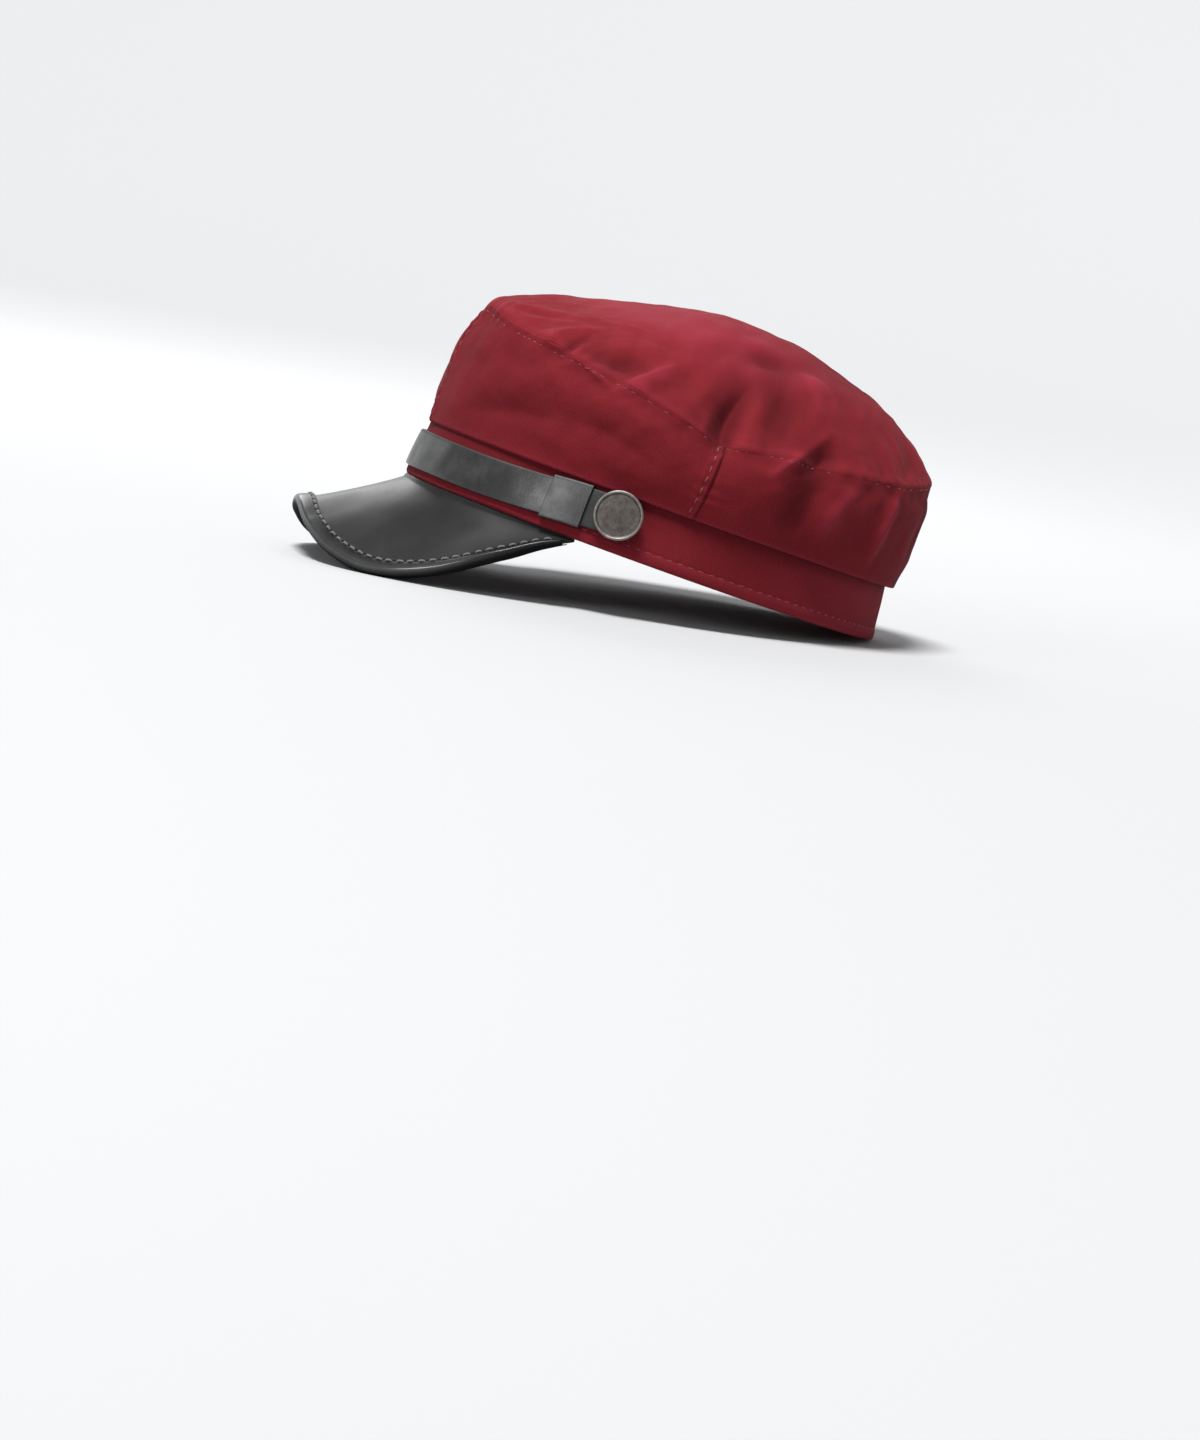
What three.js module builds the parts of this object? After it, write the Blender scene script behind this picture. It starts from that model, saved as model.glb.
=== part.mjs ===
// A skipper cap: a full crown of one back and two front panels under an oval
// tip, a plain band, a smooth strap held by a keeper and a button at each end,
// and a curved peak with a bound edge.
//
// Millimetres and degrees. The cap is drawn in its own frame: the rim plane is
// z = 0 with its middle at the origin, the peak points to -y and the wearer's
// left is +x. Angles run round the rim from the centre front, to the wearer's
// left. At the end the whole cap is tipped into the pose in which it rests.

import * as THREE from "three";
import { mergeVertices } from "three/addons/utils/BufferGeometryUtils.js";

// Driving dimensions
const GAP = 0.3;
const RIM = { front: 99.8, side: 85, back: 99.8 };
const EGG = 0.03;
const BAND = { thickness: 2, top: 25.4, lean: 0.12 };
const CROWN = { low: 22.3, wall: 1.8, wallRun: 40, tipRun: 95, foldRadius: 92 };
const TIP_MIDDLE = { y: 6, z: 101.8 };
const TIP_LIFT = { inward: 2.2, atSeam: 40 };
const SEAMS = { centreFront: 0, left: 90, right: 270 };
const STRAP = { width: 15, thickness: 1.6, end: 75.5, bevel: 0.4 };
const KEEPER = { from: 54.8, to: 64.2, thickness: 0.8 };
const BUTTON = { angle: 71.7, height: 14.2, radius: 9.6, depth: 3, standOff: 0.5 };
const BUTTON_FACE = { rim: 1.3, recess: 0.6, edge: 0.7, soft: 0.3 };
const PEAK = { rimAngle: 67, lastAngle: 86, thickness: 2.4, crowning: 0.16 };
const PEAK_TUCK = { depth: 1.6, share: 0.12, slope: 0.2 };
const PEAK_PLAN = { halfWidth: 76.6, rear: -39, reach: 97.6, roundness: 0.9 };
const BINDING = { width: 6.2, under: 5, skin: 1, lip: 1.2, corner: 0.2, mostShare: 0.5 };

const STEPS = { round: 4.5, keeper: 3, peak: 4, lathe: 24 };
const PROBE = { angle: 1, up: 0.8, share: 0.01 };
const SAME_POINT = 1e-4;
const UP_WALL = [0, 1.8, 4.2, 9, 15, 21, 27, 32.5, 37];
const UP_TIP = [43.5, 47.5, 52.5, 59, 68, 80, 95, 113];
const PEAK_ACROSS = [0, 0.05, 0.12, 0.3, 0.5, 0.75, 1];

// Tables: one row for each section or fold
const WALL = table(
  ["share", "front", "side", "back"],
  [
    [0.0, 98.2, 84.3, 100.9],
    [0.25, 98.3, 87.2, 102.4],
    [0.5, 97.7, 89.0, 102.5],
    [0.75, 96.0, 88.4, 102.6],
    [1.0, 92.0, 86.4, 100.0],
  ],
);

const TIP_SEAM = table(
  ["angle", "height", "roundness", "edgeLift"],
  [
    [0, 73.0, 1.5, 0.17],
    [20, 69.2, 1.6, 0.13],
    [45, 65.2, 1.9, 0.07],
    [65, 60.9, 2.1, 0.03],
    [77, 57.0, 2.2, 0.0],
    [89, 53.6, 2.2, 0.0],
    [101, 57.0, 2.3, 0.0],
    [115, 58.6, 2.3, 0.0],
    [140, 62.4, 2.45, 0.0],
    [165, 67.0, 2.75, 0.0],
    [180, 68.2, 2.85, 0.0],
  ],
);

const FOLDS = table(
  ["name", "angle", "up", "turn", "length", "width", "depth"],
  [
    ["fold over the left seam", 85, 48, 73, 13, 5, -5.0],
    ["lip of that fold", 91, 51, 75, 12, 4, 1.4],
    ["hollow behind the lip", 98, 51, 80, 10, 5, -1.8],
    ["dent high on the tip", 95, 76, -60, 11, 7, -1.6],
    ["dent over the back", 112, 43, 40, 9, 5, -3.8],
    ["crease below that dent", 109, 23, -88, 15, 5, -2.6],
    ["slanted swelling", 117, 24, 61, 14, 6, 2.0],
    ["ridge in the back panel", 135, 22, 85, 17, 4, 1.3],
    ["fold near the back of the tip", 153, 50, 30, 14, 7, -1.2],
    ["long soft crease, front", 38, 19, 16, 22, 7, -1.4],
    ["long soft crease, side", 66, 24, -8, 20, 7, -1.3],
    ["hollow at the tip's edge", 56, 48, 0, 12, 7, -2.2],
    ["short dent at the tip's edge", 43, 46, 70, 8, 4, -1.6],
    ["ridge by the hollow", 65, 47, 60, 14, 4, 1.2],
    ["fold over the right seam", 272, 48, 100, 12, 6, -2.8],
    ["dent over the back, right", 245, 43, 140, 10, 6, -2.2],
    ["long soft crease, right", 305, 20, -10, 24, 8, -1.3],
    ["swelling, right", 232, 24, 115, 14, 6, 1.2],
  ],
);

const STRAP_RISE = table(
  ["angle", "middle"],
  [
    [0, 11.0],
    [35, 10.8],
    [50, 11.6],
    [60, 12.8],
    [66, 13.3],
    [75, 13.9],
  ],
);

const PEAK_EDGE = table(
  ["angle", "drop", "fullness"],
  [
    [0, 23.4, 1],
    [15, 29.2, 1],
    [30, 35.0, 1],
    [45, 36.2, 1],
    [60, 28.8, 1],
    [75, 13.6, 0.9],
    [90, 0.0, 0.35],
  ],
);

const FINISH = {
  cloth: { color: 0x7a2430, roughness: 0.85, metalness: 0 },
  strap: { color: 0x2f3130, roughness: 0.42, metalness: 0 },
  peak: { color: 0x262729, roughness: 0.38, metalness: 0 },
  binding: { color: 0x1d1e20, roughness: 0.34, metalness: 0 },
  button: { color: 0x6b6862, roughness: 0.4, metalness: 1 },
};

// Small helpers
function table(columns, rows) {
  return rows.map((row) => Object.fromEntries(columns.map((name, i) => [name, row[i]])));
}

function radians(angle) {
  return THREE.MathUtils.degToRad(angle);
}

function steps(from, to, size) {
  const count = Math.max(1, Math.round((to - from) / size));
  return Array.from({ length: count + 1 }, (_, i) => from + ((to - from) * i) / count);
}

function wholeRound() {
  return steps(0, 360, STEPS.round).slice(0, -1);
}

// Slope of a table column at one row, level at the first and the last row.
function slopeAt(rows, key, column, i) {
  if (i === 0 || i === rows.length - 1) {
    return 0;
  }
  const rise = rows[i + 1][column] - rows[i - 1][column];
  return rise / (rows[i + 1][key] - rows[i - 1][key]);
}

// Smooth value of a table column between its rows.
function smooth(rows, key, column, at) {
  const last = rows.length - 1;
  const x = THREE.MathUtils.clamp(at, rows[0][key], rows[last][key]);
  const next = rows.findIndex((row, i) => i > 0 && x <= row[key]);
  const a = rows[next - 1];
  const b = rows[next];
  const span = b[key] - a[key];
  const u = (x - a[key]) / span;
  const v = 1 - u;
  const start = v * v * (1 + 2 * u) * a[column] + v * v * u * span * slopeAt(rows, key, column, next - 1);
  const end = u * u * (1 + 2 * v) * b[column] - u * u * v * span * slopeAt(rows, key, column, next);
  return start + end;
}

// Angle from the centre front, the same on both sides.
function sideAngle(angle) {
  const turn = ((angle % 360) + 360) % 360;
  return turn > 180 ? 360 - turn : turn;
}

// Plan of every ring of the cap: two half ellipses, narrower at the front.
function oval(angle, { front, side, back }, z) {
  const c = Math.cos(radians(angle));
  const x = side * Math.sin(radians(angle)) * (1 - EGG * c);
  return new THREE.Vector3(x, -(c > 0 ? front : back) * c, z);
}

// Bodies
// A section is two chains of equal length, an outer and an inner one. Joined
// end to end they are one closed ring, and the rings are skinned in order.
function ringOf({ outer, inner }) {
  return [...outer, ...[...inner].reverse()];
}

function quad(faces, a, b, c, d) {
  faces.push([a, b, c], [a, c, d]);
}

function capFaces(faces, base, links, flip) {
  const size = 2 * links + 2;
  for (let i = 0; i < links; i += 1) {
    const ends = [base + i, base + i + 1, base + size - 2 - i, base + size - 1 - i];
    quad(faces, ...(flip ? ends.reverse() : ends));
  }
}

function loftBody(sections, closed = false) {
  const rings = sections.map(ringOf);
  const size = rings[0].length;
  const faces = [];
  const spans = closed ? rings.length : rings.length - 1;
  for (let k = 0; k < spans; k += 1) {
    const here = k * size;
    const next = ((k + 1) % rings.length) * size;
    for (let i = 0; i < size; i += 1) {
      const j = (i + 1) % size;
      quad(faces, here + i, here + j, next + j, next + i);
    }
  }
  if (!closed) {
    capFaces(faces, 0, size / 2 - 1, true);
    capFaces(faces, (rings.length - 1) * size, size / 2 - 1, false);
  }
  return bodyOf(rings.flat(), faces);
}

// Closed body with shared corners: faces that close to a line are dropped, and
// all are turned to point outward.
function bodyOf(points, faces) {
  const loose = new THREE.BufferGeometry().setFromPoints(points);
  loose.setIndex(faces.flat());
  const body = mergeVertices(loose, SAME_POINT);
  const index = body.getIndex().array;
  const kept = [];
  for (let i = 0; i < index.length; i += 3) {
    const [a, b, c] = index.slice(i, i + 3);
    if (a !== b && b !== c && c !== a) {
      kept.push([a, b, c]);
    }
  }
  const outward = volumeOf(body, kept) > 0;
  body.setIndex(kept.flatMap(([a, b, c]) => (outward ? [a, b, c] : [a, c, b])));
  body.computeVertexNormals();
  return body;
}

function volumeOf(body, faces) {
  const place = body.getAttribute("position");
  const corner = (i) => new THREE.Vector3().fromBufferAttribute(place, i);
  const part = ([a, b, c]) => corner(a).dot(corner(b).cross(corner(c))) / 6;
  return faces.reduce((sum, face) => sum + part(face), 0);
}

// Band
function bandPoint(angle, z, out) {
  const inset = BAND.lean * z - out;
  const plan = { front: RIM.front - inset, side: RIM.side - inset, back: RIM.back - inset };
  return oval(angle, plan, z);
}

function bandSection(angle) {
  return {
    outer: [bandPoint(angle, 0, 0), bandPoint(angle, BAND.top, 0)],
    inner: [bandPoint(angle, 0, -BAND.thickness), bandPoint(angle, BAND.top, -BAND.thickness)],
  };
}

function band() {
  return loftBody(wholeRound().map(bandSection), true);
}

// Crown
// "up" runs over the cloth from the lower edge of the wall, over the tip seam
// at wallRun, to the middle of the tip.
function plainCrown(angle, up) {
  const side = sideAngle(angle);
  const seam = smooth(TIP_SEAM, "angle", "height", side);
  const share = Math.min(up / CROWN.wallRun, 1);
  const plan = {
    front: smooth(WALL, "share", "front", share),
    side: smooth(WALL, "share", "side", share),
    back: smooth(WALL, "share", "back", share),
  };
  const point = oval(angle, plan, CROWN.low + share * (seam - CROWN.low));
  if (up > CROWN.wallRun) {
    const radius = crownRadius(up);
    point.x *= radius;
    point.y = TIP_MIDDLE.y + (point.y - TIP_MIDDLE.y) * radius;
    point.z = seam + (TIP_MIDDLE.z - seam) * domeShare(side, radius);
  }
  return point;
}

// Share of the dome's height at a share of its radius: rounder at the back,
// and lifted close to the seam at the front.
function domeShare(side, radius) {
  const roundness = smooth(TIP_SEAM, "angle", "roundness", side);
  const lift = smooth(TIP_SEAM, "angle", "edgeLift", side);
  const fade = radius ** TIP_LIFT.inward * (1 - radius ** TIP_LIFT.atSeam);
  return 1 - radius ** roundness + lift * fade;
}

// Share of the crown's radius: 1 on the wall, 0 in the middle of the tip.
function crownRadius(up) {
  return THREE.MathUtils.clamp(1 - (up - CROWN.wallRun) / CROWN.tipRun, 0, 1);
}

function normalOf(surface, angle, up) {
  const along = surface(angle + PROBE.angle, up).sub(surface(angle - PROBE.angle, up));
  const upward = surface(angle, up + PROBE.up).sub(surface(angle, up - PROBE.up));
  return along.cross(upward).normalize();
}

function foldDepth(angle, up) {
  const arc = radians(1) * CROWN.foldRadius * crownRadius(up);
  return FOLDS.reduce((sum, fold) => {
    const turned = ((angle - fold.angle + 540) % 360) - 180;
    const across = turned * arc;
    const rise = up - fold.up;
    const c = Math.cos(radians(fold.turn));
    const s = Math.sin(radians(fold.turn));
    const long = (across * c + rise * s) / fold.length;
    const wide = (rise * c - across * s) / fold.width;
    return sum + fold.depth * Math.exp(-long * long - wide * wide);
  }, 0);
}

function crownPoint(angle, up) {
  const normal = normalOf(plainCrown, angle, up);
  return plainCrown(angle, up).addScaledVector(normal, foldDepth(angle, up));
}

function insideCrown(angle, up) {
  const normal = normalOf(crownPoint, angle, up);
  return crownPoint(angle, up).addScaledVector(normal, -CROWN.wall);
}

// The two edges that meet at the tip seam share one slanted plane, half the
// gap to either side of it.
function seamEdge(angle, shift) {
  const up = CROWN.wallRun;
  const normal = normalOf(plainCrown, angle, up);
  const next = crownPoint(angle + PROBE.angle, up);
  const along = next.sub(crownPoint(angle - PROBE.angle, up)).normalize();
  const upward = normal.clone().cross(along);
  const outer = crownPoint(angle, up).addScaledVector(upward, shift);
  return { outer, inner: outer.clone().addScaledVector(normal, -CROWN.wall) };
}

// The wall's lower edge is turned in under itself and closes round the top of
// the band.
function wallSection(angle) {
  const shelf = BAND.top + GAP;
  const edge = seamEdge(angle, -GAP / 2);
  const turnedIn = [
    bandPoint(angle, CROWN.low, GAP),
    bandPoint(angle, shelf, GAP),
    bandPoint(angle, shelf, -BAND.thickness),
  ];
  const inner = UP_WALL.slice(turnedIn.length).map((up) => insideCrown(angle, up));
  return {
    outer: [...UP_WALL.map((up) => crownPoint(angle, up)), edge.outer],
    inner: [...turnedIn, ...inner, edge.inner],
  };
}

function sidePanel(from, to) {
  const half = GAP / 2 / radians(1) / RIM.side;
  const within = steps(from, to, STEPS.round).slice(1, -1);
  return loftBody([from + half, ...within, to - half].map(wallSection));
}

function tipSection(angle) {
  const edge = seamEdge(angle, GAP / 2);
  const middle = new THREE.Vector3(0, TIP_MIDDLE.y, TIP_MIDDLE.z);
  return {
    outer: [edge.outer, ...UP_TIP.map((up) => crownPoint(angle, up)), middle],
    inner: [
      edge.inner,
      ...UP_TIP.map((up) => insideCrown(angle, up)),
      middle.clone().setZ(middle.z - CROWN.wall),
    ],
  };
}

function tip() {
  return loftBody(wholeRound().map(tipSection), true);
}

// Strap and keepers
function strapMiddle(angle) {
  return smooth(STRAP_RISE, "angle", "middle", sideAngle(angle));
}

function strapSection(angle) {
  const low = strapMiddle(angle) - STRAP.width / 2;
  const high = low + STRAP.width;
  const face = GAP + STRAP.thickness;
  const heights = [low, low + STRAP.bevel, high - STRAP.bevel, high];
  const bevels = [STRAP.bevel, 0, 0, STRAP.bevel];
  return {
    outer: heights.map((z, i) => bandPoint(angle, z, face - bevels[i])),
    inner: heights.map((z) => bandPoint(angle, z, GAP)),
  };
}

function strap() {
  return loftBody(steps(-STRAP.end, STRAP.end, STEPS.round).map(strapSection));
}

// A keeper closes over the face and both edges of the strap: a chain up its
// lower edge, over the face and down its upper edge.
function keeperChain(angle, spread, face, corner) {
  const low = strapMiddle(angle) - STRAP.width / 2;
  const high = low + STRAP.width;
  return [
    bandPoint(angle, low - spread, GAP),
    bandPoint(angle, low - spread, face - corner),
    bandPoint(angle, low - spread + corner, face),
    bandPoint(angle, high + spread - corner, face),
    bandPoint(angle, high + spread, face - corner),
    bandPoint(angle, high + spread, GAP),
  ];
}

function keeperSection(angle) {
  const under = 2 * GAP + STRAP.thickness;
  const { thickness } = KEEPER;
  return {
    outer: keeperChain(angle, GAP + thickness, under + thickness, thickness / 2),
    inner: keeperChain(angle, GAP, under, thickness / 4),
  };
}

function keeper(sign) {
  const ends = [sign * KEEPER.from, sign * KEEPER.to].sort((a, b) => a - b);
  return loftBody(steps(ends[0], ends[1], STEPS.keeper).map(keeperSection));
}

// Buttons
function button() {
  const { radius, depth } = BUTTON;
  const { rim, recess, edge, soft } = BUTTON_FACE;
  const profile = [
    [0, 0],
    [radius - edge, 0],
    [radius, edge],
    [radius, depth - edge],
    [radius - soft * edge, depth - soft * edge],
    [radius - edge, depth],
    [radius - rim, depth - soft * recess],
    [radius - rim - recess, depth - recess],
    [0, depth - recess],
  ];
  const points = profile.map(([x, y]) => new THREE.Vector2(x, y));
  const lathe = new THREE.LatheGeometry(points, STEPS.lathe);
  const index = lathe.getIndex().array;
  const place = lathe.getAttribute("position");
  const corners = Array.from({ length: place.count }, (_, i) =>
    new THREE.Vector3().fromBufferAttribute(place, i),
  );
  const faces = [];
  for (let i = 0; i < index.length; i += 3) {
    faces.push([index[i], index[i + 1], index[i + 2]]);
  }
  return bodyOf(corners, faces);
}

// Its back stands just off the strap. It faces out from the band, and leans
// back only half as much as the band does.
function seatButton(mesh, sign) {
  const surface = (at, z) => bandPoint(at, z, 2 * GAP + STRAP.thickness + BUTTON.standOff);
  const out = normalOf(surface, sign * BUTTON.angle, BUTTON.height);
  out.z /= 2;
  mesh.position.copy(surface(sign * BUTTON.angle, BUTTON.height));
  mesh.quaternion.setFromUnitVectors(new THREE.Vector3(0, 1, 0), out.normalize());
}

// Peak
// "across" is 0 where the peak is sewn under the band and 1 at its outer edge.
function peakPlan(angle) {
  const s = Math.sin(radians(angle));
  const c = Math.cos(radians(angle));
  const x = PEAK_PLAN.halfWidth * Math.sign(s) * Math.abs(s) ** PEAK_PLAN.roundness;
  const y = PEAK_PLAN.rear - PEAK_PLAN.reach * Math.abs(c) ** PEAK_PLAN.roundness;
  return new THREE.Vector3(x, y, 0);
}

function peakPoint(angle, across) {
  const inner = bandPoint((angle * PEAK.rimAngle) / 90, 0, -PEAK_TUCK.depth);
  const point = inner.lerp(peakPlan(angle), across);
  const drop = smooth(PEAK_EDGE, "angle", "drop", Math.abs(angle));
  const free = THREE.MathUtils.smoothstep(across, 0, PEAK_TUCK.share);
  const slope = (1 + PEAK.crowning) * across - PEAK.crowning * across * across;
  point.z = -GAP - drop * THREE.MathUtils.lerp(PEAK_TUCK.slope * across, slope, free);
  return point;
}

// Upward normal of the peak, and the level direction straight off its edge.
function peakFrame(angle, across) {
  const next = peakPoint(angle + PROBE.angle / 2, across);
  const along = next.sub(peakPoint(angle - PROBE.angle / 2, across)).normalize();
  const outer = peakPoint(angle, across + PROBE.share);
  const out = outer.sub(peakPoint(angle, across - PROBE.share));
  const up = out.cross(along).normalize();
  return { up, off: along.cross(up) };
}

// Share of the full thickness: the peak and its binding thin out at their ends.
function fullness(angle) {
  return smooth(PEAK_EDGE, "angle", "fullness", Math.abs(angle));
}

function peakUnderside(angle, across) {
  const { up } = peakFrame(angle, Math.max(across, PEAK_TUCK.share));
  return peakPoint(angle, across).addScaledVector(up, -PEAK.thickness * fullness(angle));
}

function peakSection(angle) {
  return {
    outer: PEAK_ACROSS.map((share) => peakPoint(angle, share)),
    inner: PEAK_ACROSS.map((share) => peakUnderside(angle, share)),
  };
}

function peakAngles() {
  return steps(-PEAK.lastAngle, PEAK.lastAngle, STEPS.peak);
}

function peak() {
  return loftBody(peakAngles().map(peakSection));
}

// The binding is a folded strip round the outer edge. Both its flaps follow the
// faces of the peak, a gap off them.
function bindingFlap(angle, width, side, lift) {
  const room = peakPoint(angle, 0).distanceTo(peakPoint(angle, 1));
  const reach = Math.min(width / room, BINDING.mostShare);
  return [reach, reach / 2, 0].map((share) => {
    const { up } = peakFrame(angle, 1 - share);
    const face = side > 0 ? peakPoint : peakUnderside;
    return face(angle, 1 - share).addScaledVector(up, side * lift);
  });
}

function bindingSection(angle) {
  const { off } = peakFrame(angle, 1);
  const chain = (lift, lip) => {
    const over = bindingFlap(angle, BINDING.width, 1, lift);
    const under = bindingFlap(angle, BINDING.under, -1, lift).reverse();
    const [high, low] = [over[2], under[0]];
    const corners = [BINDING.corner, 1 - BINDING.corner].map((share) =>
      high.clone().lerp(low, share).addScaledVector(off, lip),
    );
    return [...over, ...corners, ...under];
  };
  const full = fullness(angle);
  return {
    outer: chain(GAP + BINDING.skin * full, GAP + BINDING.lip * full),
    inner: chain(GAP, GAP),
  };
}

function peakBinding() {
  return loftBody(peakAngles().map(bindingSection));
}

// Assembly
function piece(name, geometry, finish) {
  const mesh = new THREE.Mesh(geometry, new THREE.MeshStandardMaterial(finish));
  mesh.name = name;
  return mesh;
}

function assemble() {
  const cap = new THREE.Group();
  cap.add(
    piece("crown_tip", tip(), FINISH.cloth),
    piece("side_front_left", sidePanel(SEAMS.centreFront, SEAMS.left), FINISH.cloth),
    piece("side_front_right", sidePanel(SEAMS.right, 360), FINISH.cloth),
    piece("side_back", sidePanel(SEAMS.left, SEAMS.right), FINISH.cloth),
    piece("band", band(), FINISH.cloth),
    piece("strap", strap(), FINISH.strap),
    piece("peak", peak(), FINISH.peak),
    piece("peak_binding", peakBinding(), FINISH.binding),
  );
  for (const [side, sign] of [["left", 1], ["right", -1]]) {
    const mesh = piece(`button_${side}`, button(), FINISH.button);
    seatButton(mesh, sign);
    cap.add(piece(`keeper_${side}`, keeper(sign), FINISH.strap), mesh);
  }
  return cap;
}

// The cap rests on two points of the peak's bound edge and on the back of the
// rim: the tilt that brings them level.
function restTilt(binding) {
  const back = oval(180, RIM, 0);
  const place = binding.geometry.getAttribute("position");
  let tilt = 0;
  for (let i = 0; i < place.count; i += 1) {
    tilt = Math.max(tilt, Math.atan2(back.z - place.getZ(i), back.y - place.getY(i)));
  }
  return tilt;
}

function settle(cap) {
  const stand = new THREE.Group();
  stand.add(cap);
  cap.rotation.x = -restTilt(cap.getObjectByName("peak_binding"));
  stand.updateMatrixWorld(true);
  const box = new THREE.Box3().setFromObject(stand, true);
  cap.position.set(0, -(box.min.y + box.max.y) / 2, -box.min.z);
  return stand;
}

export default settle(assemble());
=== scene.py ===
"""A skipper cap, dressed for its portrait: a full twill crown of two front panels
and one back panel under an oval tip, a plain band, a smooth strap with a keeper
and a metal button at each end, and a curved leather peak with a sewn binding.

Shapes are worked out in the cap's own frame, in millimetres and degrees. The
rim plane is z = 0 with its middle at the origin, the peak points to -y and the
wearer's left is +x. Angles run round the rim from the centre front to the
wearer's left. "up" runs over the crown's cloth from its lower edge, 0, over the
tip seam, 40, to the middle of the tip, 135. RestPose puts every finished point
into the row frame, in metres.
"""

from __future__ import annotations

import logging
import math
from dataclasses import dataclass, field
from enum import Enum
from typing import Callable, Iterable, Sequence

import bmesh
import bpy
import numpy as np
from mathutils import Matrix, Vector

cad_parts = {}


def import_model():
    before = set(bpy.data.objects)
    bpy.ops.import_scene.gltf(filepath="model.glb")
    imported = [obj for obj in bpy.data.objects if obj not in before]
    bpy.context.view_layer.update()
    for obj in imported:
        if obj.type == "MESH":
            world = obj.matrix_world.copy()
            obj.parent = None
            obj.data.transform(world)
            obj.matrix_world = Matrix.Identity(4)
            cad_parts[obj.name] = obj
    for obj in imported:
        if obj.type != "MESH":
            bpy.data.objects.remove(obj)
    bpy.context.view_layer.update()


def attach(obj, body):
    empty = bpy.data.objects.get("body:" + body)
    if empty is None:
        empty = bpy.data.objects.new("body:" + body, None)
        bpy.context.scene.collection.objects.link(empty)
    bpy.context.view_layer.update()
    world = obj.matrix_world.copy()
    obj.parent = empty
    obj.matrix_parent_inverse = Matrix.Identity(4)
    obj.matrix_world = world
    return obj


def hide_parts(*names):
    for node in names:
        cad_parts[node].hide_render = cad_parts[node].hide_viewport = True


LOG = logging.getLogger("skipper_cap")
MM = 0.001
PATTERN = "pattern"
# A mark that pales cloth and leather: wear on edges, and painted light and painted highlights
# elsewhere.
WEAR_AND_LIGHT = "worn"
# A mark of painted shade: darker colour where shade falls.
PAINTED_SHADE = "deep"
SAME_POINT = 2e-6

Array = np.ndarray
Values = Array | float
Piece = bpy.types.Object
Material = bpy.types.Material
Mesh = bpy.types.Mesh
Surface = Callable[[Array, Array], Array]
Edge = Callable[[Array], Array]


# Sizes and plain surfaces


@dataclass(frozen=True)
class Table:
    """A short table of sizes. The first column is what the others depend on."""

    columns: tuple[str, ...]
    rows: tuple[tuple[float, ...], ...]

    def at(self, column: str, key: Values) -> Array:
        """Smooth value of a column between its rows.

        Formula: a cubic through the two nearest rows, whose slope at a row is
        the rise between its two neighbours over their distance, and level at
        the first and the last row.

        Args:
            column: name of the column.
            key: values of the first column, one for each result.

        Returns:
            The column's value for each key.
        """
        values = np.array(self.rows, float)
        x, y = values[:, 0], values[:, self.columns.index(column)]
        slope = np.zeros(len(x))
        slope[1:-1] = (y[2:] - y[:-2]) / (x[2:] - x[:-2])
        at = np.clip(key, x[0], x[-1])
        i = np.clip(np.searchsorted(x, at, side="right") - 1, 0, len(x) - 2)
        span = x[i + 1] - x[i]
        u = (at - x[i]) / span
        v = 1 - u
        start = v * v * ((1 + 2 * u) * y[i] + u * span * slope[i])
        end = u * u * ((1 + 2 * v) * y[i + 1] - v * span * slope[i + 1])
        return start + end


def unit(vectors: Array) -> Array:
    """Vectors scaled to a length of one."""
    return vectors / np.maximum(np.linalg.norm(vectors, axis=-1, keepdims=True), 1e-12)


def ease(value: Array, low: float, high: float) -> Array:
    """Smooth step: 0 up to low, 1 from high, 3t^2 - 2t^3 between them."""
    t = np.clip((value - low) / (high - low), 0, 1)
    return t * t * (3 - 2 * t)


def bell(distance: Array, width: Values, power: float = 2) -> Array:
    """Bell curve exp(-|distance / width| ^ power): 1 in the middle, 0 far off."""
    return np.exp(-(np.abs(distance / width) ** power))


def spaced(start: float, stop: float, step: float, fine: Sequence[float] = ()) -> Array:
    """Even stations from start to stop, with closer ones at both ends.

    Args:
        start: first station.
        stop: last station.
        step: greatest distance between stations.
        fine: extra distances from each end at which a station is added.

    Returns:
        The stations in rising order.
    """
    last = max(fine, default=0)
    count = max(2, int(round((stop - start - 2 * last) / step)) + 1)
    even = np.linspace(start + last, stop - last, count)
    near = [start + d for d in fine] + [stop - d for d in fine]
    return np.unique(np.round(np.concatenate([[start, stop], even, near]), 5))


def grid(first: Array, second: Array) -> tuple[Array, Array]:
    """Every value of the first with every value of the second, as two grids."""
    return np.meshgrid(first, second, indexing="ij")


@dataclass(frozen=True)
class Ridge:
    """A ridge that runs along a line, or a furrow if its height is below 0.

    "off" is how far its top lies from the line.
    """

    height: float
    width: float
    off: float = 0.0

    def at(self, away: Array) -> Array:
        """Height at a distance from the line: a bell."""
        return self.height * bell(away - self.off, self.width)


@dataclass(frozen=True)
class RestPose:
    """How the cap stands by itself: on the back of its rim and on its peak."""

    tilt: float = 10.659
    shift_y: float = 14.426
    shift_z: float = 18.460

    def turn(self, vectors: Array) -> Array:
        """Directions of the cap's frame in the row frame: a turn by the tilt about x.

        Args:
            vectors: directions, with x, y and z last.

        Returns:
            The turned directions.
        """
        c, s = math.cos(math.radians(self.tilt)), math.sin(math.radians(self.tilt))
        x, y, z = vectors[..., 0], vectors[..., 1], vectors[..., 2]
        return np.stack([x, y * c + z * s, z * c - y * s], axis=-1)

    def place(self, points: Array) -> Array:
        """Points of the cap's frame, in millimetres, in the row frame, in metres."""
        return (self.turn(points) + np.array([0.0, self.shift_y, self.shift_z])) * MM


REST = RestPose()


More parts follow.
